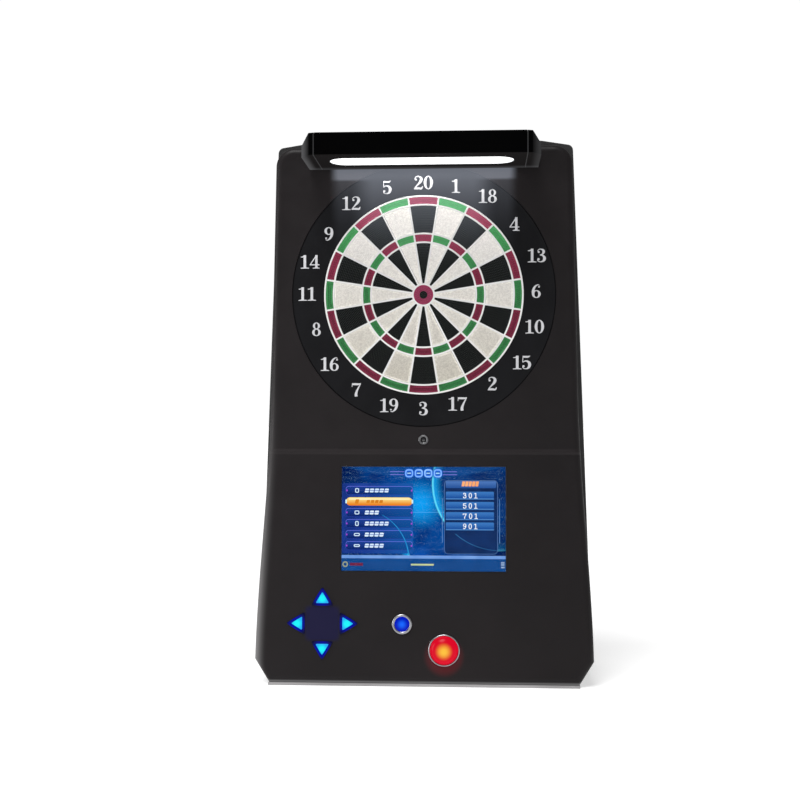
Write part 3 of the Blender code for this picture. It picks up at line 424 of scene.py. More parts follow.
def circuit_material():
    """Green solder mask over copper runs, with plated pads."""
    made = Surface("circuit_board", Roughness=0.32, Coat_Weight=0.25, Coat_Roughness=0.2)
    x, _, z = made.place()
    run = 0.0032
    lanes, ways = [(axis / run).math("FRACT").off(0.5).between(0.30, 0.36) for axis in (x, z)]
    patch = made.noise(38.0, 1.0).between(0.49, 0.51)
    copper = lanes * patch + ways * (patch * -1.0 + 1.0)
    made.set("Base Color", made.mix(copper, (0.004, 0.058, 0.022), (0.012, 0.120, 0.045)))
    made.bump(copper, 0.00003)
    return made.material


def wood_material():
    """Pressed fibre board with darker fibres."""
    made = Surface("fibre_board", Roughness=0.78)
    fibres = made.noise(260.0, 6.0, (1.0, 1.0, 0.35))
    blotch = made.noise(14.0, 4.0)
    share = (fibres + blotch * 0.4).between(0.45, 0.95)
    made.set("Base Color", made.mix(share, (0.20, 0.125, 0.07), (0.36, 0.25, 0.155)))
    made.bump(fibres, 0.0002)
    return made.material


def glass_material():
    made = Surface("cover_glass", Base_Color=(1.0, 1.0, 1.0), Roughness=0.0, IOR=1.1, Transmission_Weight=1.0)
    return made.material


def segment_material(name, light, dark):
    """Soft moulded plastic, a little cloudy and scuffed by dart tips, with the hood lamp's light painted on,
    growing towards the top.
    """
    made = moulded(name, light, dark, (0.46, 0.62), (420.0, 0.00005), 260.0, Specular_IOR_Level=0.15)
    _, _, z = made.place()
    # Painted light of the hood lamp: a pale veil on the cream, the lamp's pool and each colour's own tone on
    # the rest
    rise = ((z - (TARGET_Z - 0.16)) / 0.32).math("MAXIMUM", 0.0)
    if min(light) > 0.5:
        made.glow(made.mix(rise, UNLIT, (0.185, 0.195, 0.235)))
    else:
        lit = tuple(channel * 0.75 for channel in light)
        add_glow(made, made.mix(rise * rise * rise, UNLIT, lit))
    return made.material


def screen_material():
    """The display's picture: deep blue space with a soft glow, stars and the lit limbs of two planets."""
    made = Surface("screen_picture", Base_Color=UNLIT, Specular_IOR_Level=0.0)
    x, _, z = made.place()
    screen_z = middle("lcd_panel").z
    h = z - screen_z
    clouds = made.noise(24.0, 7.0).between(0.40, 0.62)
    ends = x.math("ABSOLUTE").between(0.165, 0.06)
    deep = made.mix(ends, (0.0, 0.009, 0.080), (0.0, 0.028, 0.190))
    colour = made.mix(clouds * 0.5, deep, (0.001, 0.085, 0.380))
    for cx, ch, reach, share, tint in (
        (-0.006, 0.030, 0.060, 0.95, (0.003, 0.36, 0.93)),
        (-0.004, -0.072, 0.030, 0.4, (0.004, 0.12, 0.62)),
        (-0.060, -0.045, 0.060, 0.3, (0.002, 0.16, 0.56)),
        (-0.140, 0.020, 0.080, 0.35, (0.003, 0.12, 0.45)),
    ):
        colour = made.mix(made.away(cx, screen_z + ch).between(reach, 0.0) * share, colour, tint)
    for cx, ch, radius, inside, along in (
        (0.1505, 0.0705, 0.132, 0.022, (0.060, -0.150)),
        (-0.1302, -0.0824, 0.1017, 0.018, (-0.020, 0.095)),
    ):
        reach = made.away(cx, screen_z + ch)
        face = reach.between(radius, radius - 0.012)
        colour = made.mix(face * 0.55, colour, (0.002, 0.022, 0.120))
        lit = (x - cx).between(*along)
        glow = reach.between(radius - inside, radius) * reach.between(radius + 0.0012, radius - 0.0006)
        edge = reach.off(radius).between(0.0030, 0.0)
        colour = made.mix(glow * lit * 0.75, colour, (0.006, 0.40, 0.90))
        colour = made.mix(edge * lit, colour, (0.120, 0.78, 1.0))
    band = (h - x * x * 0.9).between(0.078, 0.084) * 0.5
    colour = made.mix(band, colour, (0.006, 0.080, 0.300))
    flare = h.off(0.013).between(0.0012, 0.0) * x.math("ABSOLUTE").between(0.16, 0.02)
    colour = made.mix(flare * 0.45, colour, (0.15, 0.55, 1.0))
    stars = made.noise(1500.0, 0.0).between(0.74, 0.80)
    colour = made.mix(stars * 0.8, colour, (0.45, 0.80, 1.0))
    made.glow(colour)
    return made.material


def light_material(name, colour, low=None, rows=None, side=None):
    """A lit mark on the display, patchy between two colours, or falling to the low one down each row.

    rows is (height of one row's middle, pitch, height of a row), about the middle of the screen.
    side is a colour that comes in towards the middle of the screen.
    """
    made = Surface(name, Base_Color=UNLIT, Specular_IOR_Level=0.0)
    x, _, z = made.place()
    if rows:
        first, pitch, tall = rows
        away = ((z - middle("lcd_panel").z - first) / pitch + 0.5).math("FRACT") - 0.5
        share = away.between(-tall / pitch / 2, tall / pitch / 2)
    else:
        share = made.noise(30.0, 2.0).between(0.2, 0.8)
    lit = made.mix(share, low or colour, colour)
    if side:
        lit = made.mix(x.math("ABSOLUTE").between(0.135, 0.020) * 0.75, lit, side)
    made.glow(lit)
    return made.material


PANEL = panel_material()
STEEL_BLACK = moulded(
    "powder_coated_steel", (0.0138, 0.0133, 0.0137), (0.0116, 0.0112, 0.0116), (0.45, 0.54), (650.0, 0.00009)
).material
BASE_STEEL = moulded("primed_steel", (0.340, 0.330, 0.335), (0.260, 0.252, 0.256), (0.5, 0.65)).material
STEEL = brushed("zinc_plated_steel", (0.50, 0.50, 0.49), (0.42, 0.42, 0.42), (0.32, 0.42), (0.08, 1.0, 1.0))
CHROME = brushed("chrome", (0.42, 0.42, 0.44), (0.34, 0.34, 0.36), (0.26, 0.34), (1.0, 1.0, 1.0))
GLOSS = gloss_surface("gloss_black").material
CAP = cap_material()
OPAL = opal_material()
RING = ring_material()
NUMERAL = moulded(
    "pale_numerals", (0.60, 0.60, 0.62), (0.52, 0.52, 0.54), (0.35, 0.5), (500.0, 0.00003)
).material
WEB = moulded("web_white", (0.84, 0.83, 0.82), (0.76, 0.75, 0.73), (0.38, 0.5), (300.0, 0.00002)).material
CRIMSON = segment_material("segment_crimson", (0.225, 0.028, 0.062), (0.175, 0.020, 0.045))
GREEN = segment_material("segment_green", (0.050, 0.245, 0.080), (0.038, 0.190, 0.060))
CREAM = segment_material("segment_cream", (0.86, 0.82, 0.73), (0.68, 0.64, 0.56))
BLACK = segment_material("segment_black", (0.0125, 0.0145, 0.0142), (0.0085, 0.0100, 0.0098))
BULL = segment_material("bull_crimson", (0.33, 0.052, 0.115), (0.26, 0.036, 0.085))
EYE_RING = moulded(
    "anodised_grey", (0.16, 0.16, 0.165), (0.11, 0.11, 0.115), (0.3, 0.4), (900.0, 0.00002), Metallic=0.8
).material
LENS = moulded(
    "lens_black", (0.002, 0.002, 0.004), (0.001, 0.001, 0.002), (0.03, 0.06), (200.0, 0.000005),
    Coat_Weight=1.0,
).material
RUBBER = moulded(
    "foam_rubber", (0.030, 0.030, 0.031), (0.020, 0.020, 0.021), (0.8, 0.95), (1500.0, 0.0002)
).material
PLASTIC = moulded(
    "black_abs", (0.021, 0.021, 0.022), (0.014, 0.014, 0.015), (0.40, 0.56), (1100.0, 0.00006)
).material
FILM = film_material()
WOOD = wood_material()
GLASS = glass_material()
CIRCUIT = circuit_material()


# Meshes. Outlines are lists of flat points, anticlockwise.


def circle(radius, count, centre=(0, 0)):
    angles = [math.tau * i / count for i in range(count)]
    return [Vector((centre[0] + radius * math.cos(a), centre[1] + radius * math.sin(a))) for a in angles]


def rectangle(width, height, centre=(0, 0)):
    x, y = centre
    corners = ((-1, -1), (1, -1), (1, 1), (-1, 1))
    return [Vector((x + sx * width / 2, y + sy * height / 2)) for sx, sy in corners]


def fillet(last, corner, following, radius, steps):
    """The arc that rounds one corner."""
    before = (last - corner).normalized()
    after = (following - corner).normalized()
    half = math.acos(max(-1.0, min(1.0, before.dot(after)))) / 2
    centre = corner + (before + after).normalized() * radius / math.sin(half)
    start = corner + before * radius / math.tan(half) - centre
    first = math.atan2(start.y, start.x)
    angles = [first + (math.pi - 2 * half) * s / steps for s in range(steps + 1)]
    return [centre + Vector((math.cos(a), math.sin(a))) * radius for a in angles]


def rounded(corners, radius, steps=8):
    points = []
    for i, corner in enumerate(corners):
        points += fillet(corners[i - 1], corner, corners[(i + 1) % len(corners)], radius, steps)
    return points


def inset(outline, distance):
    """The outline moved inwards, keeping its corners."""
    moved = []
    for i, point in enumerate(outline):
        before = (point - outline[i - 1]).normalized()
        after = (outline[(i + 1) % len(outline)] - point).normalized()
        along = (before + after).normalized()
        normal = Vector((-along.y, along.x))
        moved.append(point + normal * distance / normal.dot(Vector((-before.y, before.x))))
    return moved


def mirrored(right_side):
    """An outline from its right half, given from the bottom up."""
    return right_side + [Vector((-p.x, p.y)) for p in reversed(right_side)]


def at_depth(outline, depth):
    return [Vector((p.x, depth, p.y)) for p in outline]


def at_height(outline, z):
    return [Vector((p.x, p.y, z)) for p in outline]


def at_side(outline, x):
    return [Vector((x, p.x, p.y)) for p in outline]


def loft(loops, ring=False):
    """A closed mesh through loops of equally many points. A ring joins its last loop to its first."""
    mesh = bmesh.new()
    rows = [[mesh.verts.new(point) for point in loop] for loop in loops]
    pairs = list(zip(rows, rows[1:]))
    if ring:
        pairs.append((rows[-1], rows[0]))
    else:
        mesh.faces.new(rows[0])
        mesh.faces.new(rows[-1])
    for one, two in pairs:
        for i in range(len(one)):
            mesh.faces.new((one[i - 1], one[i], two[i], two[i - 1]))
    bmesh.ops.recalc_face_normals(mesh, faces=mesh.faces)
    return mesh


def prism(outline, front, back):
    return loft([at_depth(outline, front), at_depth(outline, back)])


def turned(profile, count=96, ring=False, centre=(0, 0)):
    """A solid turned about a line along Y, from (radius, depth) pairs."""
    return loft([at_depth(circle(radius, count, centre), depth) for radius, depth in profile], ring)


def boxes(extents):
    mesh = bmesh.new()
    for low, high in extents:
        centre = (Vector(low) + Vector(high)) / 2
        size = Vector(high) - Vector(low)
        bmesh.ops.create_cube(mesh, size=1, matrix=Matrix.LocRotScale(centre, None, size))
    return mesh


def together(meshes):
    whole = bmesh.new()
    for mesh in meshes:
        data = mesh_data("part", mesh)
        whole.from_mesh(data)
        bpy.data.meshes.remove(data)
    return whole


def moved(mesh, matrix):
    bmesh.ops.transform(mesh, matrix=matrix, verts=mesh.verts)
    return mesh


def placed(name, data, spot=(0, 0, 0), turn=(0, 0, 0)):
    """A new object in the scene, turned by degrees about x, y and z."""
    made = bpy.data.objects.new(name, data)
    made.location = spot
    made.rotation_euler = [math.radians(angle) for angle in turn]
    bpy.context.scene.collection.objects.link(made)
    return made


def mesh_data(name, mesh):
    data = bpy.data.meshes.new(name)
    mesh.to_mesh(data)
    mesh.free()
    return data


def combined(mesh, steps):
    """The mesh after Booleans. steps holds (operation, mesh) pairs."""
    base = placed("base", mesh_data("base", mesh))
    helpers = []
    for operation, other in steps:
        helper = placed("helper", mesh_data("helper", other))
        modifier = base.modifiers.new("step", "BOOLEAN")
        modifier.operation = operation
        modifier.object = helper
        helpers.append(helper)
    result = bmesh.new()
    evaluated = base.evaluated_get(bpy.context.evaluated_depsgraph_get())
    result.from_mesh(evaluated.to_mesh())
    evaluated.to_mesh_clear()
    for obj in [base, *helpers]:
        data = obj.data
        bpy.data.objects.remove(obj)
        bpy.data.meshes.remove(data)
    return result


def soften(obj, width, segments=3):
    """Rounds an object's edges and keeps its flat faces flat."""
    weld = obj.modifiers.new("weld", "WELD")
    weld.merge_threshold = 0.00001
    bevel = obj.modifiers.new("bevel", "BEVEL")
    bevel.width = width
    bevel.segments = segments
    bevel.limit_method = "ANGLE"
    bevel.angle_limit = math.radians(38)
    bevel.use_clamp_overlap = True
    bevel.harden_normals = True


def piece(name, mesh, material, matrix=UPPER, body="cabinet", replaces=(), edge=0.0):
    """One visible piece, from a bmesh in a local frame."""
    data = mesh_data(name, mesh)
    data.transform(matrix)
    data.materials.append(material)
    data.shade_smooth()
    data.set_sharp_from_angle(angle=math.radians(33))
    made = placed(name, data)
    if edge:
        soften(made, edge)
    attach(made, body)
    if replaces:
        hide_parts(*replaces)
    return made


def keep(node, material, edge=0.0):
    """A CAD node that stays, with its own finish and softened edges."""
    obj = NODES[node]
    obj.material_slots[0].material = material
    if edge:
        soften(obj, edge, 2)


# Cabinet


def panel_half_width(z):
    share = min(max((FLARE_TOP_Z - z) / (FLARE_TOP_Z - CHAMFER_Z), 0.0), 1.0)
    flare = PANEL_FLARE * share * share * (3 - 2 * share)
    return PANEL_TOP_HALF + PANEL_TAPER * (PANEL_TOP_Z - z) + flare


def panel_outline():
    foot_half = panel_half_width(CHAMFER_Z) - CHAMFER_W
    corner_z = PANEL_TOP_Z - PANEL_CORNER_R
    corner_x = panel_half_width(corner_z) - PANEL_CORNER_R
    low, fold, high = CHAMFER_Z, FOLD_Z - FOLD_HALF, FOLD_Z + FOLD_HALF
    heights = [low + (fold - low) * i / 18 for i in range(18)]
    heights += [fold + (high - fold) * i / 10 for i in range(10)]
    heights += [high + (FLARE_TOP_Z - high) * i / 6 for i in range(7)]
    right = [Vector((foot_half, FLOOR_Z))]
    right += [Vector((panel_half_width(z), z)) for z in heights]
    right += [p + Vector((corner_x, corner_z)) for p in circle(PANEL_CORNER_R, 64)[:17]]
    return mirrored(right)


def lean_depth(z):
    """How far the panel stands ahead of the upper face: a lean below the fold, and a soft bead along it."""
    below = FOLD_Z - z
    soft = FOLD_HALF * 2
    share = min(max((below + soft) / (2 * soft), 0.0), 1.0)
    lean = max(below, 0.0) if abs(below) > soft else share * share * soft
    bead = 0.5 + 0.5 * math.cos(math.pi * below / FOLD_HALF) if abs(below) < FOLD_HALF else 0.0
    return -math.tan(LEAN) * lean - FOLD_RISE * bead


def leaning(outline, depth):
    return [Vector((p.x, depth + lean_depth(p.y), p.y)) for p in outline]


def panel_mesh():
    """A shell with a rounded front edge. Its faces are strips across the panel, so the fold can be soft."""
    outline = panel_outline()
    rim = PANEL_DEPTH - GAP
    turn = 8
    loops = [at_depth(inset(outline, PANEL_THICK), rim), at_depth(outline, rim)]
    for i in range(turn + 1):
        angle = math.pi / 2 * i / turn
        inwards = PANEL_EDGE_R * (1 - math.cos(angle))
        loops.append(leaning(inset(outline, inwards), PANEL_EDGE_R * (1 - math.sin(angle))))
    inner = [
        leaning(inset(outline, PANEL_EDGE_R), PANEL_THICK),
        leaning(inset(outline, PANEL_THICK), PANEL_EDGE_R),
    ]
    mesh = bmesh.new()
    rows = [[mesh.verts.new(p) for p in loop] for loop in loops + inner]
    count = len(outline)
    faced = [rows[len(loops) - 1], rows[len(loops)]]
    for one, two in zip(rows, rows[1:] + rows[:1]):
        if one is not faced[0]:
            for i in range(count):
                mesh.faces.new((one[i - 1], one[i], two[i], two[i - 1]))
    for row in faced:
        for i in range(count // 2 - 1):
            mesh.faces.new((row[i], row[i + 1], row[count - 2 - i], row[count - 1 - i]))
    bmesh.ops.recalc_face_normals(mesh, faces=mesh.faces)
    return mesh


def arrow_outline(offset=0.0, steps=8):
    """A triangle pointing up, about the middle of its inscribed circle, shrunk by the offset."""
    side = math.hypot(ARROW_BASE / 2, ARROW_HEIGHT)
    inner_r = ARROW_BASE * ARROW_HEIGHT / (ARROW_BASE + 2 * side)
    share = (inner_r - offset) / inner_r
    corners = ((-ARROW_BASE / 2, -inner_r), (ARROW_BASE / 2, -inner_r), (0, ARROW_HEIGHT - inner_r))
    return rounded([Vector(c) * share for c in corners], 0.0022 * share, steps)


def arrow_places():
    """Name and place in the lower panel's frame of each arrow button."""
    side = math.hypot(ARROW_BASE / 2, ARROW_HEIGHT)
    reach = ARROW_CLEARANCE + ARROW_BASE * ARROW_HEIGHT / (ARROW_BASE + 2 * side)
    for name, angle in (("up", 0.0), ("right", 0.5), ("down", 1.0), ("left", 1.5)):
        turn = angle * math.pi
        x, z = PAD_X + reach * math.sin(turn), -PAD_DROP + reach * math.cos(turn)
        yield name, Matrix.Translation((x, 0, z)) @ Matrix.Rotation(turn, 4, "Y")


def weigh_normals(obj):
    modifier = obj.modifiers.new("flat_faces", "WEIGHTED_NORMAL")
    modifier.keep_sharp = True
    modifier.weight = 90


def make_panel():
    through = 0.02  # how far each cutter stands out of both faces of the panel
    to_upper = UPPER.inverted() @ LOWER

    def bore(radius, sides, centre):
        return turned([(radius, -through), (radius, through)], sides, centre=centre)

    screen = rectangle(SCREEN_SIZE[0] + 0.001, SCREEN_SIZE[1] + 0.001, (0, -SCREEN_DROP))
    holes = [
        bore(NUMBER_RING_R + 0.0015, 240, (0, TARGET_Z)),
        bore(0.0082, 48, (0, EYE_Z)),
        moved(prism(rounded(screen, 0.0006, 3), -through, through), to_upper),
    ]
    for _, place in arrow_places():
        holes.append(moved(prism(arrow_outline(0.0025), -through, through), to_upper @ place))
    for x, drop, radius in ((BLUE_X, BLUE_DROP, 0.0172), (RED_X, RED_DROP, 0.0298)):
        holes.append(moved(bore(radius, 64, (x, -drop)), to_upper))
    mesh = combined(panel_mesh(), [("DIFFERENCE", together(holes))])
    panel = piece("front_panel_skin", mesh, PANEL, replaces=["front_panel"])
    weigh_normals(panel)


def shell_half_width(z):
    return SHELL_FOOT_HALF + (SHELL_TOP_HALF - SHELL_FOOT_HALF) * z / SHELL_SHOULDER_Z


def shell_outline():
    foot = Vector((shell_half_width(CHAMFER_Z) - CHAMFER_W, FLOOR_Z))
    side = Vector((shell_half_width(CHAMFER_Z), CHAMFER_Z))
    shoulder = Vector((SHELL_TOP_HALF, SHELL_SHOULDER_Z))
    crown = Vector((SHELL_CROWN_HALF, SHELL_CROWN_Z))
    top = Vector((0, SHELL_CROWN_Z))
    right = [foot] + fillet(foot, side, shoulder, 0.008, 4)
    right += fillet(side, shoulder, crown, SHELL_CORNER_R, 10) + fillet(shoulder, crown, top, 0.060, 4)
    return mirrored(right)


def slots_in_circle(node, radius, width, pitch, upright):
    """Round-ended slots through the back wall, which fill a circle over a node."""
    x, z = middle(node).xz
    made = []
    count = int(radius / pitch)
    for i in range(-count, count + 1):
        across = i * pitch
        reach = math.sqrt(radius**2 - across**2)
        size = (width, 2 * reach) if upright else (2 * reach, width)
        place = (x + across, z) if upright else (x, z + across)
        made.append(prism(rounded(rectangle(*size, place), width * 0.49, 5), 0.24, 0.26))
    return made


def make_shell():
    """A folded sheet-steel box with a front flange, an opening for the rear door and vents."""
    outline = shell_outline()
    hem = 0.0012
    turn = 4
    loops = [at_depth(inset(outline, hem), PANEL_DEPTH), at_depth(outline, PANEL_DEPTH + hem)]
    for i in range(turn + 1):
        angle = math.pi / 2 * i / turn
        inwards = SHELL_BEND_R * (1 - math.cos(angle))
        loops.append(at_depth(inset(outline, inwards), BODY_DEPTH - SHELL_BEND_R * (1 - math.sin(angle))))
    door_gap = 0.0022
    frame_depth = 0.018
    door_middle = middle("rear_door").xz
    opening = 2 * (half_size("rear_door").xz + Vector((door_gap, door_gap)))
    outer = opening + 2 * Vector((SHELL_THICK, SHELL_THICK))
    within, inwards = BODY_DEPTH - SHELL_THICK / 2, BODY_DEPTH - frame_depth
    rim = [
        at_depth(rectangle(*size, door_middle), depth)
        for size, depth in ((outer, within), (outer, inwards), (opening, inwards), (opening, within))
    ]
    slots = slots_in_circle("fan_frame", 0.036, 0.005, 0.0078, upright=True)
    for node in ("speaker_left", "speaker_right"):
        slots += slots_in_circle(node, 0.031, 0.0045, 0.0088, upright=False)
    holes = [
        prism(flat, depth - 0.01, depth + 0.01)
        for flat, depth in (
            (inset(panel_outline(), 0.010), PANEL_DEPTH),
            (rectangle(*opening, door_middle), BODY_DEPTH),
            (rectangle(*INLET_HOLE, middle("power_inlet").xz), BODY_DEPTH),
        )
    ]
    hollow = prism(inset(outline, SHELL_THICK), PANEL_DEPTH + SHELL_THICK, BODY_DEPTH - SHELL_THICK)
    steps = [
        ("DIFFERENCE", hollow),
        ("UNION", loft(rim, ring=True)),
        ("DIFFERENCE", together(holes + slots)),
    ]
    mesh = combined(loft(loops), steps)
    shell = piece("cabinet_shell_skin", mesh, STEEL_BLACK, replaces=["cabinet_shell"])
    weigh_normals(shell)


# Lamp hood


def make_hood():
    low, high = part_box("hood_housing")
    front, back = low.y - FRONT_Y, high.y - FRONT_Y
    wall = 0.003
    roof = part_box("hood_end_cap_left")[1].z
    bridge = PANEL_TOP_Z + 2 * GAP
    section = [
        Vector((front, low.z)),
        Vector((-GAP, low.z)),
        Vector((-GAP, bridge)),
        Vector((back, bridge)),
        Vector((back, high.z)),
        Vector((back - wall, high.z)),
        Vector((back - wall, bridge + wall)),
        Vector((-GAP - wall, bridge + wall)),
        Vector((-GAP - wall, roof)),
        Vector((front, roof)),
    ]
    window = rounded(rectangle(*LAMP_WINDOW, (0, middle("hood_diffuser").y - FRONT_Y)), LAMP_WINDOW_R, 16)
    inside = boxes([((low.x - 0.01, front + wall, low.z + wall), (high.x + 0.01, -GAP - wall, roof - wall))])
    hole = loft([at_height(inset(window, -0.0005), low.z + side * 0.01) for side in (-1, 1)])
    ends = loft([at_side(section, low.x), at_side(section, high.x)])
    mesh = combined(ends, [("DIFFERENCE", inside), ("DIFFERENCE", hole)])
    piece("hood_housing_skin", mesh, GLOSS, replaces=["hood_housing"], edge=0.0009)
    lamp_low, lamp_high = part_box("hood_diffuser")
    flange, flange_reach = low.z + wall + GAP, -0.0045
    lens = [
        (0.0012, lamp_low.z),
        (0.0003, lamp_low.z + 0.0003),
        (0.0, lamp_low.z + 0.0009),
        (0.0, flange),
        (flange_reach, flange),
        (flange_reach, lamp_high.z),
    ]
    diffuser = loft([at_height(inset(window, inwards), z) for inwards, z in lens])
    piece("hood_diffuser_opal", diffuser, OPAL, replaces=["hood_diffuser"])
    for side in ("left", "right"):
        keep(f"hood_end_cap_{side}", CAP, 0.0015)
    keep("hood_led_board", CIRCUIT)


# Target. A sector's middle is measured clockwise from the top.


def polar(radius, angle):
    return Vector((radius * math.sin(angle), radius * math.cos(angle)))


def make_spider():
    """Five rings joined by twenty radial bars, with softened front edges."""
    per_sector = 9
    mesh = bmesh.new()
    rows = []
    for radius in [r + side * WEB_HALF for r in SPIDER_RINGS for side in (-1, 1)]:
        row = []
        for sector in range(SECTORS):
            reach = math.pi / SECTORS - math.asin(WEB_HALF / radius)
            for i in range(per_sector):
                p = polar(radius, math.tau * sector / SECTORS + reach * (2 * i / (per_sector - 1) - 1))
                row.append(mesh.verts.new((p.x, 0.0005, p.y)))
        rows.append(row)
    count = per_sector * SECTORS
    faces = []
    for i, (inner, outer) in enumerate(zip(rows, rows[1:])):
        for k in range(count) if i % 2 == 0 else range(per_sector - 1, count, per_sector):
            following = (k + 1) % count
            faces.append(mesh.faces.new((inner[k], inner[following], outer[following], outer[k])))
    made = bmesh.ops.extrude_face_region(mesh, geom=faces)["geom"]
    back = [item for item in made if isinstance(item, bmesh.types.BMVert)]
    bmesh.ops.translate(mesh, verts=back, vec=(0, 0.0138, 0))
    bmesh.ops.recalc_face_normals(mesh, faces=mesh.faces)
    piece("spider_web", mesh, WEB, TARGET, replaces=["spider"], edge=0.0004)


class Plates:
    """Flat plates with pits in their fronts, gathered into one mesh. Points are (x, z), and y is a depth."""

    def __init__(self):
        self.points = []
        self.faces = []

    def loop(self, outline, depth):
        first = len(self.points)
        self.points += at_depth(outline, depth)
        return list(range(first, len(self.points)))

    def walls(self, front, back):
        for i in range(len(front)):
            self.faces.append((front[i - 1], back[i - 1], back[i], front[i]))

    def add(self, outlines, centres, front, back, soft):
        """outlines pairs the front face's outline with the plate's own, then any opening's, clockwise."""
        loops = [face for face, _ in outlines] + [circle(PIT_R, PIT_SIDES, c)[::-1] for c in centres]
        flat = [p for loop in loops for p in loop]
        edges, owner = [], []
        first = 0
        for number, loop in enumerate(loops):
            edges += [(first + i, first + (i + 1) % len(loop)) for i in range(len(loop))]
            owner += [number] * len(loop)
            first += len(loop)
        points, _, triangles, origins, _, _ = delaunay_2d_cdt(flat, edges, [], 1, 1e-7)
        index = {origins[i][0]: i for i in range(len(points))}
        owners = [owner[origin[0]] for origin in origins]
        base = len(self.points)
        self.points += at_depth(points, front)
        for triangle in triangles:
            rings = {owners[i] for i in triangle}
            if len(rings) == 1 and min(rings) > 0:
                continue
            self.faces.append(tuple(base + i for i in triangle))
        first = 0
        for number, loop in enumerate(loops):
            rim = [base + index[first + i] for i in range(len(loop))]
            first += len(loop)
            if number < len(outlines):
                outside = self.loop(outlines[number][1], front + soft)
                self.walls(rim, outside)
                self.walls(outside, self.loop(outlines[number][1], back))
            else:
                floor = self.loop(loop, front + PIT_DEPTH)
                self.walls(rim, floor)
                self.faces.append(tuple(reversed(floor)))

    def bmesh(self, turns=(0.0,)):
        """The plates, once for each turn about the target's middle."""
        mesh = bmesh.new()
        for turn in turns:
            spin = Matrix.Rotation(turn, 4, "Y")
            verts = [mesh.verts.new(spin @ p) for p in self.points]
            for face in self.faces:
                mesh.faces.new([verts[i] for i in face])
        return mesh


def sector_outline(inner_r, outer_r, side_gap, steps=10):
    def arc(radius, first, last):
        reach = math.pi / SECTORS - math.asin(side_gap / radius)
        return [polar(radius, reach * (first + (last - first) * i / steps)) for i in range(steps + 1)]

    return arc(inner_r, -1, 1) + arc(outer_r, 1, -1)


def make_segments():
    """Eighty segments, each a plate whose front is full of small pits for the dart tips."""
    names = ("inner_single", "triple", "outer_single", "double")
    half = math.pi / SECTORS
    margin = PIT_R + 0.0009
    soft = 0.0003
    for ring, name in enumerate(names):
        gap = WEB_HALF + SEGMENT_GAP
        inner_r, outer_r = SPIDER_RINGS[ring] + gap, SPIDER_RINGS[ring + 1] - gap
        centres = []
        row_height = PIT_PITCH * math.sqrt(0.75)
        rows = int((outer_r - inner_r) / row_height) + 1
        first = (inner_r + outer_r) / 2 - (rows - 1) * row_height / 2
        for row in range(rows + 1):
            z = first + row * row_height
            reach = int(z * math.tan(half) / PIT_PITCH) + 1
            for i in range(-reach, reach + 1):
                x = (i + 0.5 * (row % 2)) * PIT_PITCH
                radius = math.hypot(x, z)
                to_side = z * math.sin(half) - abs(x) * math.cos(half) - gap
                if inner_r + margin < radius < outer_r - margin and to_side > margin:
                    centres.append((x, z))
        face = sector_outline(inner_r + soft, outer_r - soft, gap + soft)
        outline = sector_outline(inner_r, outer_r, gap)
        plates = Plates()
        plates.add([(face, outline)], centres, SEGMENT_FRONT, SEGMENT_BACK, soft)
        dark, bright = (BLACK, CREAM) if "single" in name else (CRIMSON, GREEN)
        for first_sector, material, shade in ((0, dark, "dark"), (1, bright, "bright")):
            turns = [math.tau * sector / SECTORS for sector in range(first_sector, SECTORS, 2)]
            node = f"{name}_segments"
            piece(f"{node}_{shade}", plates.bmesh(turns), material, TARGET, replaces=[node])


def make_bulls():
    outer_r = SPIDER_RINGS[0] - WEB_HALF - SEGMENT_GAP
    inner_r = 0.0077
    hole_r = inner_r + SEGMENT_GAP
    count = 64
    soft = 0.0003
    bull_front = 0.0010

    def pits(radius, holes):
        return [tuple(polar(radius, math.tau * i / holes)) for i in range(holes)]

    outlines = [
        (circle(outer_r - soft, count), circle(outer_r, count)),
        (circle(hole_r + soft, count)[::-1], circle(hole_r, count)[::-1]),
    ]
    plates = Plates()
    plates.add(outlines, pits(0.0112, 16) + pits(0.0148, 22), bull_front, SEGMENT_BACK, soft)
    piece("outer_bull_ring", plates.bmesh(), BULL, TARGET, "outer_bull", ["outer_bull"])
    outlines = [(circle(inner_r - 0.0006, count), circle(inner_r, count))]
    plates = Plates()
    plates.add(outlines, [(0.0, 0.0)] + pits(0.0036, 6), bull_front, SEGMENT_BACK, 0.0005)
    piece("inner_bull_cap", plates.bmesh(), BLACK, TARGET, "inner_bull", ["inner_bull"])


def make_number_ring():
    inner_r = SPIDER_RINGS[-1] + WEB_HALF + 0.0006
    flange_r, step_r = 0.272, 0.210
    front, flange_front, step_back, back = 0.001, PANEL_THICK + GAP, 0.0165, 0.0229 - GAP
    soft = 0.0005
    ring = [
        (inner_r, front + soft),
        (inner_r + soft, front),
        (NUMBER_RING_R - soft, front),
        (NUMBER_RING_R, front + soft),
        (NUMBER_RING_R, flange_front),
        (flange_r, flange_front),
        (flange_r, back),
        (step_r, back),
        (step_r, step_back),
        (inner_r, step_back),
    ]
    mesh = turned(ring, 240, ring=True)
    piece("number_ring_face", mesh, RING, TARGET, replaces=["number_ring"])


# Digits are strokes of varying width on a body one unit high: (x, z, width) along each stroke


def oval(x, z, half_width, half_height, thick, thin):
    points = []
    for i in range(16):
        a = math.tau * i / 16
        width = thin + (thick - thin) * math.cos(a) ** 2
        points.append((x + half_width * math.cos(a), z + half_height * math.sin(a), width))
    return points + points[:1]


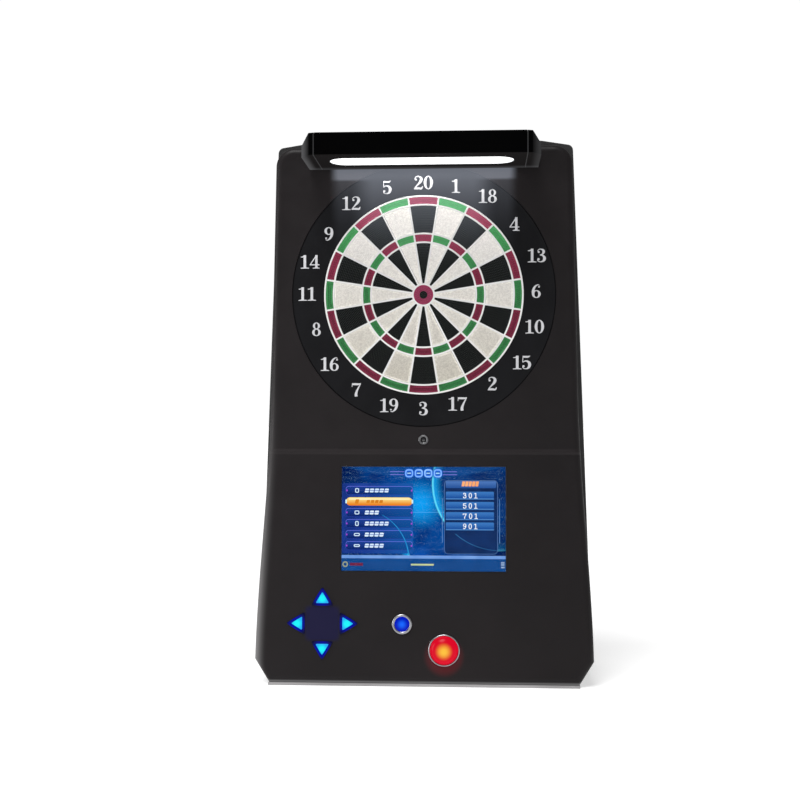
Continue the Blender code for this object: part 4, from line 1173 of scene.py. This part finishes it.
STROKE_WEIGHT = 0.82
PLAIN_STROKE = 0.13
DIGIT_WIDTH = 0.66
DIGIT_STRETCH = 1.1
SIX = [
    oval(0.345, 0.29, 0.205, 0.25, 0.20, 0.075),
    [(0.13, 0.30, 0.19), (0.14, 0.54, 0.21), (0.24, 0.80, 0.16), (0.42, 0.955, 0.08), (0.55, 0.92, 0.06)],
    [(0.50, 0.86, 0.05), (0.52, 0.81, 0.17), (0.54, 0.76, 0.05)],
]
DIGITS = {
    0: [oval(0.33, 0.5, 0.215, 0.46, 0.225, 0.08)],
    1: [
        [(0.34, 0.03, 0.21), (0.34, 0.99, 0.21)],
        [(0.33, 0.93, 0.12), (0.20, 0.86, 0.085), (0.07, 0.85, 0.06)],
        [(0.06, 0.03, 0.06), (0.20, 0.045, 0.09), (0.34, 0.06, 0.12), (0.48, 0.045, 0.09)]
        + [(0.62, 0.03, 0.06)],
    ],
    2: [
        [(0.10, 0.76, 0.05), (0.15, 0.90, 0.07), (0.31, 0.96, 0.08), (0.47, 0.88, 0.17), (0.515, 0.73, 0.23)]
        + [(0.44, 0.54, 0.20), (0.28, 0.35, 0.12), (0.09, 0.12, 0.07)],
        [(0.12, 0.67, 0.06), (0.16, 0.73, 0.19), (0.18, 0.80, 0.05)],
        [(0.04, 0.05, 0.09), (0.20, 0.09, 0.17), (0.38, 0.085, 0.17), (0.53, 0.08, 0.14), (0.61, 0.24, 0.05)],
    ],
    3: [
        [(0.10, 0.79, 0.05), (0.15, 0.92, 0.07), (0.30, 0.96, 0.08), (0.46, 0.87, 0.18), (0.48, 0.74, 0.20)]
        + [(0.41, 0.60, 0.12), (0.24, 0.535, 0.07)],
        [(0.24, 0.535, 0.07), (0.43, 0.49, 0.12), (0.53, 0.36, 0.21), (0.53, 0.22, 0.23), (0.45, 0.10, 0.16)]
        + [(0.28, 0.04, 0.08), (0.12, 0.10, 0.07), (0.08, 0.22, 0.05)],
        [(0.12, 0.69, 0.06), (0.16, 0.75, 0.18), (0.17, 0.82, 0.05)],
        [(0.10, 0.30, 0.06), (0.15, 0.23, 0.19), (0.16, 0.15, 0.05)],
    ],
    4: [
        [(0.46, 0.96, 0.09), (0.06, 0.31, 0.08)],
        [(0.02, 0.28, 0.09), (0.66, 0.28, 0.09)],
        [(0.46, 0.99, 0.19), (0.46, 0.03, 0.19)],
        [(0.22, 0.03, 0.06), (0.34, 0.045, 0.09), (0.46, 0.06, 0.12), (0.56, 0.045, 0.09)]
        + [(0.68, 0.03, 0.06)],
    ],
    5: [
        [(0.10, 0.92, 0.14), (0.30, 0.90, 0.17), (0.46, 0.91, 0.15), (0.58, 0.97, 0.05)],
        [(0.12, 0.95, 0.06), (0.10, 0.52, 0.06)],
        [(0.10, 0.50, 0.05), (0.22, 0.59, 0.08), (0.37, 0.60, 0.13), (0.51, 0.49, 0.21), (0.55, 0.32, 0.24)]
        + [(0.48, 0.13, 0.18), (0.31, 0.04, 0.08), (0.14, 0.09, 0.07), (0.09, 0.20, 0.05)],
        [(0.11, 0.29, 0.06), (0.155, 0.22, 0.19), (0.17, 0.14, 0.05)],
    ],
    6: SIX,
    7: [
        [(0.07, 0.90, 0.15), (0.28, 0.905, 0.18), (0.48, 0.90, 0.15), (0.63, 0.955, 0.08)],
        [(0.075, 0.98, 0.06), (0.05, 0.70, 0.04)],
        [(0.62, 0.94, 0.06), (0.48, 0.66, 0.11), (0.36, 0.38, 0.17), (0.31, 0.16, 0.22), (0.33, 0.01, 0.23)],
    ],
    8: [oval(0.33, 0.745, 0.165, 0.215, 0.17, 0.075), oval(0.33, 0.27, 0.205, 0.235, 0.205, 0.075)],
    9: [[(DIGIT_WIDTH - x, 1 - z, width) for x, z, width in stroke] for stroke in SIX],
}


def curve_through(points, steps=6):
    """A smooth line through the points, three numbers at a time."""
    closed = points[0] == points[-1] and len(points) > 3
    found = []
    count = len(points) - 1
    for i in range(count):
        before = points[i - 1] if i else points[-2] if closed else points[0]
        after = points[i + 2] if i + 2 < len(points) else points[1] if closed else points[-1]
        for s in range(steps):
            t = s / steps
            point = []
            for a, b, c, d in zip(before, points[i], points[i + 1], after):
                bend = (2 * a - 5 * b + 4 * c - d) * t**2 + (3 * b - 3 * c + d - a) * t**3
                point.append(0.5 * (2 * b + (c - a) * t + bend))
            found.append(point)
    return found + [list(points[-1])]


def stroke_quads(stroke, plain):
    """The four-sided pieces of one stroke, whose width varies unless it is plain."""
    line = curve_through(stroke)
    left, right = [], []
    for i, (x, z, width) in enumerate(line):
        closed = stroke[0] == stroke[-1]
        last = line[i - 1] if i else line[-2] if closed else line[0]
        following = line[i + 1] if i + 1 < len(line) else line[1] if closed else line[-1]
        along = Vector((following[0] - last[0], following[1] - last[1])).normalized()
        normal = Vector((-along.y, along.x)) * (PLAIN_STROKE if plain else width * STROKE_WEIGHT) / 2
        left.append(Vector((x, z)) + normal)
        right.append(Vector((x, z)) - normal)
    return [(right[i], right[i + 1], left[i + 1], left[i]) for i in range(len(line) - 1)]


def glyph_faces(digit, plain):
    """Flat points and triangles of a digit, as the union of its strokes."""
    quads = [quad for stroke in DIGITS[digit] for quad in stroke_quads(stroke, plain)]
    points = [point for quad in quads for point in quad]
    edges = [(i - i % 4 + k, i - i % 4 + (k + 1) % 4) for i in range(0, len(points), 4) for k in range(4)]
    found, _, triangles, _, _, _ = delaunay_2d_cdt(points, edges, [], 0, 1e-5)
    halves = [(a, b, c) for a, b, c, _ in quads] + [(a, c, d) for a, _, c, d in quads]
    kept = []
    for triangle in triangles:
        centre = (found[triangle[0]] + found[triangle[1]] + found[triangle[2]]) / 3
        if any(intersect_point_tri_2d(centre, *half) for half in halves):
            kept.append(triangle)
    return [Vector((p.x * DIGIT_STRETCH, p.y)) for p in found], kept


GLYPHS = {(digit, plain): glyph_faces(digit, plain) for digit in DIGITS for plain in (False, True)}


def digits_mesh(words, front, thick, plain=False):
    """Raised numbers in one mesh. words: (number, centre, height, gap between digits) in a local frame."""
    mesh = bmesh.new()
    for number, centre, height, gap in words:
        glyphs = [GLYPHS[int(character), plain] for character in str(number)]
        spans = []
        for points, triangles in glyphs:
            used = [points[i].x for triangle in triangles for i in triangle]
            spans.append((min(used), max(used)))
        left = -(sum(high - low for low, high in spans) + gap * (len(spans) - 1)) / 2
        for (points, triangles), (low, high) in zip(glyphs, spans):
            verts = []
            for p in points:
                x = centre[0] + (left - low + p.x) * height
                verts.append(mesh.verts.new((x, front, centre[1] + (p.y - 0.5) * height)))
            left += high - low + gap
            for triangle in triangles:
                mesh.faces.new([verts[k] for k in triangle])
    loose = [vert for vert in mesh.verts if not vert.link_faces]
    bmesh.ops.delete(mesh, geom=loose, context="VERTS")
    made = bmesh.ops.extrude_face_region(mesh, geom=list(mesh.faces))["geom"]
    back = [item for item in made if isinstance(item, bmesh.types.BMVert)]
    bmesh.ops.translate(mesh, verts=back, vec=(0, thick, 0))
    bmesh.ops.recalc_face_normals(mesh, faces=mesh.faces)
    return mesh


def make_numerals():
    words = []
    for sector, number in enumerate(NUMBERS):
        radius, turn = NUMERAL_PLACES[number]
        angle = math.tau * sector / SECTORS + math.radians(turn)
        words.append((number, polar(radius, angle), NUMERAL_HEIGHT, 0.05))
    piece("numerals", digits_mesh(words, 0.0005, 0.0009), NUMERAL, TARGET)


# Camera eye and screen


def make_eye():
    eye_r = half_size("camera_bezel").x
    place = UPPER @ Matrix.Translation((0, 0, EYE_Z))
    bezel = [
        (eye_r, -GAP),
        (eye_r, -0.0009),
        (eye_r - 0.0003, -0.0014),
        (eye_r - 0.0009, -0.0018),
        (eye_r - 0.0018, -0.0018),
        (0.0066, -0.0015),
        (0.0059, -0.0008),
        (0.0058, 0.0010),
        (0.0058, 0.0125),
        (eye_r - 0.0020, 0.0125),
        (eye_r - 0.0020, -GAP),
    ]
    mesh = turned(bezel, 64, ring=True)
    piece("camera_bezel_ring", mesh, EYE_RING, place, replaces=["camera_bezel"])
    lens_r = 0.0054
    angles = (0.15, 0.4, 0.7, 1.0, 1.3, math.pi / 2)
    lens = [(lens_r * math.sin(a), 0.0005 + 0.0030 * (1 - math.cos(a))) for a in angles]
    lens.append((lens_r, 0.0070))
    piece("camera_lens_dome", turned(lens, 48), LENS, place, replaces=["camera_lens"])
    keep("camera_module", PLASTIC, 0.0004)


# Layers of the display under its glass: the front of each
LAYER_PICTURE = 0.00392
LAYER_BACK = 0.00386
LAYER_PLATE = 0.00380
LAYER_BAR = 0.00376
LAYER_TRIM = 0.00374
LAYER_MARK = 0.00370
LAYER_LIMB = 0.00368
LAYER_LINE = 0.00366
INK = 0.00005  # thickness of a mark


def bars(extents, front, radius=0.0, slant=0.0):
    """Thin marks on the display, from (x, height, width, tall), about the screen's middle."""
    meshes = []
    for x, height, width, tall in extents:
        outline = rectangle(width, tall, (x, height - SCREEN_DROP))
        if slant:
            outline = [Vector((p.x + slant * (p.y - height + SCREEN_DROP), p.y)) for p in outline]
        if radius:
            outline = rounded(outline, min(radius, tall * 0.49, width * 0.49), 4)
        meshes.append(prism(outline, front, front + INK))
    return together(meshes)


def frames(extents, width, front, radius):
    """Hollow rounded boxes on the display."""
    meshes = []
    for x, height, across, tall in extents:
        outline = rounded(rectangle(across, tall, (x, height - SCREEN_DROP)), radius, 4)
        inside = inset(outline, width)
        loops = [at_depth(outline, front), at_depth(inside, front)]
        loops += [at_depth(inside, front + INK), at_depth(outline, front + INK)]
        meshes.append(loft(loops, ring=True))
    return together(meshes)


def arc_strip(centre, radius, angles, widths, front):
    """A thin curved mark, with a width at either end. Angles are degrees anticlockwise from the right."""
    steps = 28
    outer, inner = [], []
    for i in range(steps + 1):
        share = i / steps
        angle = math.radians(angles[0] + (angles[1] - angles[0]) * share)
        away = Vector((math.cos(angle), math.sin(angle)))
        spine = Vector((centre[0], centre[1] - SCREEN_DROP)) + away * radius
        width = widths[0] + (widths[1] - widths[0]) * share
        outer.append(spine + away * width / 2)
        inner.append(spine - away * width / 2)
    mesh = bmesh.new()
    rows = []
    for depth in (front, front + 0.00004):
        rows += [[mesh.verts.new(p) for p in at_depth(line, depth)] for line in (outer, inner)]
    outer_front, inner_front, outer_back, inner_back = rows
    around = (outer_front, inner_front, inner_back, outer_back)
    for one, two in zip(around, around[1:] + around[:1]):
        for i in range(steps):
            mesh.faces.new((one[i], one[i + 1], two[i + 1], two[i]))
    for i in (0, steps):
        mesh.faces.new([row[i] for row in around])
    bmesh.ops.recalc_face_normals(mesh, faces=mesh.faces)
    return mesh


def mark(name, mesh, colour, low=None, rows=None, side=None):
    material = light_material(name.removesuffix("s"), colour, low, rows, side)
    piece(f"screen_{name}", mesh, material, LOWER)


def make_menu():
    """Six rows, each with an icon and a label, of which the second is the chosen one."""
    x, top, pitch = -0.0881, 0.0558, 0.0219
    rows = (top, pitch, 0.0160)
    plain = [top - i * pitch for i in range(6)]
    choice = plain.pop(1)
    icon_x, label_x = x - 0.0444, x - 0.0245
    labels = []
    for h, count in zip(plain, (5, 3, 5, 4, 4)):
        labels += [(label_x + k * 0.0098, h, 0.0080, 0.0078) for k in range(count)]
    icons = ((0.0078, 0.0090), (0.0096, 0.0078), (0.0072, 0.0096), (0.0118, 0.0062), (0.0124, 0.0054))
    chosen = [(icon_x, choice, 0.0070, 0.0085)]
    chosen += [(x - 0.022 + k * 0.0086, choice, 0.0068, 0.0060) for k in range(4)]

    mesh = bars([(-0.0914, 0.0007, 0.1417, 0.1390)], LAYER_BACK, 0.003)
    mark("menu_back", mesh, (0.015, 0.055, 0.330), (0.008, 0.030, 0.200), side=(0.010, 0.110, 0.420))
    mesh = bars([(x, h, 0.132, 0.0160) for h in plain], LAYER_PLATE, 0.005)
    mark("menu_rows", mesh, (0.012, 0.046, 0.270), (0.004, 0.020, 0.150), rows, (0.006, 0.090, 0.330))
    mesh = frames([(x, h, 0.1335, 0.0170) for h in plain], 0.0007, LAYER_TRIM, 0.0054)
    mark("menu_outlines", mesh, (0.170, 0.210, 0.900), (0.020, 0.045, 0.330), rows)
    mesh = bars([(x, choice, 0.132, 0.0165)], LAYER_PLATE, 0.0078)
    mark("menu_choice", mesh, (1.0, 0.74, 0.22), (0.84, 0.22, 0.008), rows)
    mesh = bars([(x, choice + 0.0050, 0.122, 0.0032)], LAYER_TRIM, 0.0015)
    mark("menu_choice_sheen", mesh, (1.0, 0.93, 0.60), (1.0, 0.86, 0.42))
    mesh = bars(chosen, LAYER_MARK, 0.001, 0.25)
    mark("menu_choice_marks", mesh, (0.78, 0.27, 0.020), (0.66, 0.20, 0.012))
    mesh = arc_strip((-0.1302, -0.0824), 0.1017, (62, 6), (0.0008, 0.0026), LAYER_LIMB)
    mark("menu_limb", mesh, (0.020, 0.330, 0.720), (0.012, 0.190, 0.520))
    mesh = bars([(x + side * 0.0662, choice, 0.0030, 0.0080) for side in (-1, 1)], LAYER_TRIM, 0.0014)
    mark("menu_choice_ends", mesh, (0.62, 0.93, 1.0))
    dots = [(x + side * 0.0645, h, 0.0022, 0.0036) for h in plain for side in (-1, 1)]
    mark("menu_dots", bars(dots, LAYER_MARK, 0.001), (0.42, 0.06, 0.70))
    mark("menu_labels", bars(labels, LAYER_MARK, 0.0016, 0.25), (0.86, 0.93, 1.0), (0.60, 0.78, 1.0))
    mesh = bars([(label[0], label[1], 0.0080, 0.0011) for label in labels], LAYER_LINE, slant=0.25)
    mark("menu_label_lines", mesh, (0.06, 0.12, 0.48))
    mesh = frames([(icon_x, h, *size) for h, size in zip(plain, icons)], 0.0018, LAYER_MARK, 0.0024)
    mark("menu_icons", mesh, (0.66, 0.84, 1.0))


def make_title():
    """Four round marks between short lines, in place of a title."""
    places = [(-0.0285 + i * 0.0190, 0.0903) for i in range(4)]
    lines = [(side * 0.0525, h, 0.028, 0.0012) for side in (-1, 1) for h in (0.0935, 0.0875)]
    mark("title_lines", bars(lines, LAYER_BACK), (0.30, 0.28, 0.86), (0.16, 0.16, 0.66))
    mesh = frames([(*place, 0.0185, 0.0185) for place in places], 0.0062, LAYER_BACK, 0.0070)
    mark("title_halos", mesh, (0.020, 0.160, 0.820), (0.012, 0.110, 0.700))
    mesh = frames([(*place, 0.0160, 0.0160) for place in places], 0.0026, LAYER_PLATE, 0.0056)
    mark("title_marks", mesh, (0.34, 0.62, 1.0), (0.20, 0.46, 1.0))
    mesh = bars([(*place, 0.0080, 0.0022) for place in places], LAYER_BAR, 0.001)
    mark("title_bars", mesh, (0.42, 0.70, 1.0))


def make_list():
    """A short list of game numbers under a heading."""
    x, top, pitch, tall = 0.0930, 0.0463, 0.0203, 0.0156
    heights = [top - i * pitch for i in range(4)]
    box_x, row_x = x + 0.0014, x - 0.0008
    words = [(n, (x, h - SCREEN_DROP), 0.0105, 0.42) for n, h in zip((301, 501, 701, 901), heights)]

    mesh = bars([(box_x, 0.0036, 0.1050, 0.1450)], LAYER_BACK, 0.007)
    mark("list_back", mesh, (0.009, 0.036, 0.145), (0.006, 0.021, 0.085))
    mesh = frames([(box_x, 0.0036, 0.1060, 0.1461)], 0.0009, LAYER_PLATE, 0.008)
    mark("list_outline", mesh, (0.120, 0.230, 0.480), (0.060, 0.150, 0.380))
    mesh = bars([(box_x + side * 0.0565, -0.004, 0.0016, 0.086) for side in (-1, 1)], LAYER_BACK, 0.0007)
    mark("list_sides", mesh, (0.100, 0.260, 0.560), (0.050, 0.180, 0.460))
    mesh = bars([(box_x, 0.0680, 0.1000, 0.0140)], LAYER_BAR, 0.003)
    mark("list_head", mesh, (0.070, 0.180, 0.480), (0.022, 0.090, 0.330), (0.0680, 0.1, 0.014))
    mesh = bars([(x + 0.0068 * i, 0.0695, 0.0058, 0.0100) for i in range(-2, 3)], LAYER_MARK, 0.001, 0.2)
    mark("list_head_mark", mesh, (1.0, 0.46, 0.20), (0.98, 0.32, 0.08))
    mesh = bars([(row_x, h, 0.0955, tall) for h in heights], LAYER_PLATE, 0.002)
    mark("list_rows", mesh, (0.044, 0.185, 0.520), (0.009, 0.068, 0.310), (top, pitch, tall))
    mesh = bars([(row_x, h - 0.0066, 0.0955, 0.0022) for h in heights], LAYER_BAR)
    mark("list_row_feet", mesh, (0.070, 0.230, 0.560))
    mark("list_numbers", digits_mesh(words, LAYER_MARK, 0.00004, plain=True), (0.95, 0.98, 1.0))
    mesh = arc_strip((0.1505, 0.0705), 0.1325, (229, 268), (0.0016, 0.0007), LAYER_PLATE)
    mark("list_limb", mesh, (0.030, 0.160, 0.380), (0.020, 0.110, 0.300))


def make_foot():
    """The strip along the foot of the picture, with its small marks."""
    middle_height = -0.0906
    mesh = bars([(0, -0.0756, 0.3255, 0.0062)], LAYER_BACK)
    mark("foot_line", mesh, (0.210, 0.400, 0.820), (0.120, 0.280, 0.700))
    mesh = bars([(0, -0.0910, 0.3255, 0.0246)], LAYER_BACK)
    mark("foot_back", mesh, (0.007, 0.075, 0.290), (0.005, 0.055, 0.220))
    mesh = bars([(-0.002, middle_height, 0.046, 0.0034)], LAYER_PLATE, 0.0016)
    mark("foot_mark", mesh, (0.62, 0.70, 0.32), (0.50, 0.62, 0.30))
    mesh = frames([(-0.1555, middle_height, 0.0115, 0.0115)], 0.0026, LAYER_PLATE, 0.0056)
    mark("foot_ring", mesh, (0.30, 0.34, 0.22))
    mesh = bars([(-0.1330, middle_height, 0.0260, 0.0056)], LAYER_PLATE, 0.001)
    mark("foot_tag", mesh, (0.16, 0.020, 0.060))
    mesh = bars([(0.1570, h, 0.0070, 0.0030) for h in (-0.0860, -0.0900, -0.0950)], LAYER_PLATE, 0.001)
    mark("foot_dots", mesh, (0.30, 0.42, 0.60))


def make_screen():
    """The display's picture and the marks of a plain game menu, under the cover glass."""
    keep("screen_glass", GLASS)
    keep("lcd_frame", STEEL, 0.0006)
    keep("lcd_panel", PLASTIC, 0.0004)
    picture = rectangle(*[side - 0.002 for side in SCREEN_SIZE], (0, -SCREEN_DROP))
    mesh = prism(picture, LAYER_PICTURE, LAYER_PICTURE + INK)
    piece("screen_picture", mesh, screen_material(), LOWER)
    make_menu()
    make_title()
    make_list()
    make_foot()


# Buttons


def make_arrow_buttons():
    sleeve_back = 0.0162
    sleeve_offset = 0.0030
    bezel = [
        (0.0, -GAP),
        (0.0, -0.0019),
        (0.0003, -0.0026),
        (0.0010, -0.0030),
        (0.0022, -0.0030),
        (ARROW_BAND - 0.0006, -0.0026),
        (ARROW_BAND, -0.0020),
        (ARROW_BAND, sleeve_back),
        (sleeve_offset, sleeve_back),
        (sleeve_offset, -GAP),
    ]
    cap = [
        (ARROW_BAND + 0.0022, -0.0038),
        (ARROW_BAND + 0.0012, -0.0036),
        (ARROW_BAND + 0.0006, -0.0031),
        (ARROW_BAND + 0.0004, -0.0024),
        (ARROW_BAND + 0.0004, sleeve_back - 0.0028),
    ]
    for name, place in arrow_places():
        matrix = LOWER @ place
        centre = (matrix @ Vector((0, 0, 0.002))).xz
        node = f"arrow_bezel_{name}"
        # The bezel is black; its blue glow is the cap's light painted on
        band = lit_material(
            f"arrow_bezel_glow_{name}", (0.0, 0.004, 0.33), (0.003, 0.004, 0.036), centre, (0.009, 0.023)
        )
        mesh = loft([at_depth(arrow_outline(offset), depth) for offset, depth in bezel], ring=True)
        piece(f"{node}_ring", mesh, band, matrix, replaces=[node])
        node = f"arrow_button_{name}"
        lamp = lit_material(
            f"arrow_lamp_{name}", (0.012, 0.92, 0.96), (0.020, 0.42, 0.92), centre, (0.003, 0.012)
        )
        mesh = loft([at_depth(arrow_outline(offset), depth) for offset, depth in cap])
        piece(f"{node}_cap", mesh, lamp, matrix, node, [node])
        keep(f"arrow_switch_{name}", PLASTIC, 0.0005)


def make_round_button(hue, place, flange_r, cap_r, rise, middle_colour, rim_colour, reach):
    """A domed cap in a chrome ring. place is (x, drop below the fold)."""
    name = f"{hue}_button"
    sleeve_r = half_size(f"{name}_switch").x
    sleeve_back = 0.0190
    bore_r = cap_r + 0.0004
    bezel = [(flange_r, -GAP), (flange_r, -0.0010)]
    for i in range(7):
        angle = math.pi * (i + 0.5) / 7
        across = (flange_r + bore_r) / 2 + (flange_r - bore_r) / 2 * math.cos(angle)
        bezel.append((across, -0.0014 - 0.0022 * math.sin(angle)))
    bezel += [(bore_r, -0.0010), (bore_r, sleeve_back), (sleeve_r, sleeve_back), (sleeve_r, -GAP)]
    matrix = LOWER @ Matrix.Translation((place[0], 0, -place[1]))
    mesh = turned(bezel, 96, ring=True)
    piece(f"{name}_bezel_ring", mesh, CHROME, matrix, replaces=[f"{name}_bezel"])
    steps = 14
    dome = []
    for i in range(steps + 1):
        angle = math.radians(86) * (1 - i / steps)
        dome.append((cap_r * math.cos(angle), -0.0024 - rise * math.sin(angle)))
    dome.append((cap_r, sleeve_back - 0.0050))
    lamp = lit_material(f"{name}_lamp", middle_colour, rim_colour, matrix.translation.xz, reach)
    piece(f"{name}_cap_dome", turned(dome, 96), lamp, matrix, name, [f"{name}_cap"])
    keep(f"{name}_switch", PLASTIC, 0.0006)


# Rear and inside


def screw_mesh(radius, height):
    """A pan head with a cross recess, facing -Y in its own frame."""
    arm, half = radius * 0.58, radius * 0.14
    cross = []
    for quarter in range(4):
        turn = Matrix.Rotation(quarter * math.pi / 2, 2)
        cross += [turn @ Vector(p) for p in ((half, -half), (arm, -half), (arm, 0), (arm, half))]
    angles = [math.atan2(p.y, p.x) for p in cross]
    rings = []
    for share, depth in ((1.0, 0.0), (1.0, -0.35), (0.93, -0.70), (0.80, -0.92), (0.68, -1.0)):
        edge = [Vector((math.cos(a), math.sin(a))) * radius * share for a in angles]
        rings.append(at_depth(edge, depth * height))
    rings.append(at_depth(cross, -height))
    rings.append(at_depth([p * 0.8 for p in cross], -height * 0.25))
    return loft(rings)


def screws(name, places, radius, height, body="cabinet"):
    """Screws on the back, from (x, z, depth of the face they stand on)."""
    about = Matrix.Rotation(math.pi, 4, "Z")
    heads = []
    for i, (x, z, depth) in enumerate(places):
        spin = Matrix.Rotation(0.7 * i, 4, "Y")
        heads.append(moved(screw_mesh(radius, height), Matrix.Translation((x, depth, z)) @ about @ spin))
    piece(name, together(heads), STEEL, body=body)


def make_rear():
    back = BODY_DEPTH
    for node, material, edge in (
        ("rear_door", STEEL_BLACK, 0.0005),
        ("hinge_leaf_cabinet", STEEL, 0.0002),
        ("hinge_leaf_door", STEEL, 0.0002),
        ("hinge_pin", STEEL, 0.0003),
        ("base_plate", BASE_STEEL, 0.0008),
        ("power_inlet", PLASTIC, 0.0005),
        ("power_rocker", PLASTIC, 0.0006),
        ("fan_frame", PLASTIC, 0.0005),
        ("fan_rotor", PLASTIC, 0.0003),
        ("speaker_left", PLASTIC, 0.0),
        ("speaker_right", PLASTIC, 0.0),
        ("power_supply", STEEL, 0.0006),
        ("main_board", CIRCUIT, 0.0002),
        ("screen_driver_board", CIRCUIT, 0.0002),
        ("backing_plate", WOOD, 0.0005),
        ("rubber_mat", RUBBER, 0.0),
        ("sensor_matrix", FILM, 0.0),
        ("target_clamp_ring", STEEL, 0.0004),
    ):
        keep(node, material, edge)

    places = []
    for node, spread in (("fan_frame", 0.0357), ("speaker_left", 0.0268), ("speaker_right", 0.0268)):
        x, z = middle(node).xz
        places += [(x + sx * spread, z + sz * spread, back) for sx in (-1, 1) for sz in (-1, 1)]
    screws("vent_screws", places, 0.0034, 0.0018)
    low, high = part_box("hinge_leaf_cabinet")
    heights = [low.z + (high.z - low.z) * share for share in (0.05, 0.275, 0.5, 0.725, 0.95)]
    leaf_back = back + GAP + 0.0015
    for side, x, body in (
        ("cabinet", low.x + 0.008, "cabinet"),
        ("door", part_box("hinge_leaf_door")[1].x - 0.008, "rear_door"),
    ):
        screws(f"hinge_screws_{side}", [(x, z, leaf_back) for z in heights], 0.0032, 0.0012, body)
    edge_z = [0.20, 0.42, 0.64, 0.86]
    places = [(side * (shell_half_width(z) - 0.016), z, back) for z in edge_z for side in (-1, 1)]
    screws("shell_screws", places, 0.0040, 0.0020)

    x, z = middle("lock_body").xz
    lock = UPPER @ Matrix.Translation((x, 0, z))
    body = [
        (0.0120, back + GAP),
        (0.0120, back + 0.0018),
        (0.0116, back + 0.0026),
        (0.0106, back + 0.0033),
        (0.0098, back + 0.0035),
        (0.0066, back + 0.0035),
        (0.0062, back + 0.0031),
        (0.0062, back - 0.020),
        (0.0094, back - 0.020),
        (0.0094, back + GAP),
    ]
    piece("lock_body_ring", turned(body, 64, ring=True), CHROME, lock, "rear_door", ["lock_body"])
    plug = turned([(0.0054, back + 0.0030), (0.0058, back + 0.0026), (0.0058, back - 0.0220)], 48)
    keyway = [boxes([((-0.0009, back + 0.0005, -0.0038), (0.0009, back + 0.01, 0.0038))])]
    cam = boxes([((-0.007, back - 0.0235, -0.007), (0.007, back - 0.0212, 0.026))])
    mesh = combined(plug, [("DIFFERENCE", together(keyway)), ("UNION", cam)])
    piece("lock_plug_keyed", mesh, CHROME, lock, "lock_plug", ["lock_plug"])

    x, z = middle("power_inlet").xz
    pins = []
    for across, foot in ((0.0, 0.0020), (-0.0070, -0.0055), (0.0070, -0.0055)):
        pin_x = x - 0.01225 + across
        low, high = z + foot, z + foot + 0.0040
        pins.append(((pin_x - 0.0010, back - 0.0155, low), (pin_x + 0.0010, back - 0.003, high)))
    piece("inlet_pins", boxes(pins), STEEL, edge=0.0003)


# Stage


AMBIENT = 0.30
WORLD_SEEN = 1.02
FLOOR_GLOW = 0.56
LAMP_WASH = 0.24
SUN = 2.6
STRIP = 25.0


def area_light(name, size, energy):
    light = bpy.data.lights.new(name, "AREA")
    light.shape = "RECTANGLE"
    light.size, light.size_y = size
    light.energy = energy
    return light


def make_lamp_wash():
    """The hood's light on the panel, which falls off quickly down the target."""
    light = area_light("lamp_wash", (0.350, 0.012), LAMP_WASH)
    wash = placed("lamp_wash", light, (0, FRONT_Y - 0.022, HOOD_LOW_Z - 0.0015))
    wash.visible_camera = False
    wash.visible_glossy = False


def make_stage():
    mesh = bmesh.new()
    bmesh.ops.create_circle(mesh, cap_ends=True, segments=96, radius=60.0)
    floor = placed("floor", mesh_data("floor", mesh))
    pale = Surface("pale_floor", Base_Color=(0.62, 0.62, 0.62), Roughness=0.9, Specular_IOR_Level=0.1)
    pale.glow((1.0, 1.0, 1.0), FLOOR_GLOW)
    floor.data.materials.append(pale.material)

    world = bpy.data.worlds.new("studio")
    world.use_nodes = True
    bpy.context.scene.world = world
    tree = world.node_tree
    background = tree.nodes["Background"]
    path = tree.nodes.new("ShaderNodeLightPath")
    seen = Wire(tree, path.outputs["Is Camera Ray"])
    plug(seen * (WORLD_SEEN - AMBIENT) + AMBIENT, background.inputs["Strength"], tree)
    background.inputs["Color"].default_value = (1.0, 1.0, 1.0, 1.0)

    sun = bpy.data.lights.new("key", "SUN")
    sun.energy = SUN
    sun.angle = math.radians(28)
    placed("key", sun, turn=(28, 0, -24))
    placed("strip", area_light("strip", (0.5, 1.8), STRIP), (-2.4, -0.5, 0.55), (90, 0, -78))

    camera = bpy.data.cameras.new("camera")
    camera.lens = 58.8
    camera.sensor_width = 36
    bpy.context.scene.camera = placed("camera", camera, (0.11, FRONT_Y - 2.6, 0.534), (90.684, 0, 3.45))
    bpy.context.scene.view_settings.view_transform = "Standard"


make_panel()
make_shell()
make_hood()
make_spider()
make_segments()
make_bulls()
make_number_ring()
make_numerals()
make_eye()
make_screen()
make_arrow_buttons()
make_round_button(
    "blue", (BLUE_X, BLUE_DROP), 0.0199, 0.0142, 0.0016,
    (0.006, 0.13, 1.0), (0.0, 0.012, 0.52), (0.001, 0.012),
)
make_round_button(
    "red", (RED_X, RED_DROP), 0.0315, 0.0274, 0.0150,
    (1.0, 0.54, 0.050), (0.72, 0.002, 0.020), (0.002, 0.019),
)
make_rear()
make_lamp_wash()
make_stage()
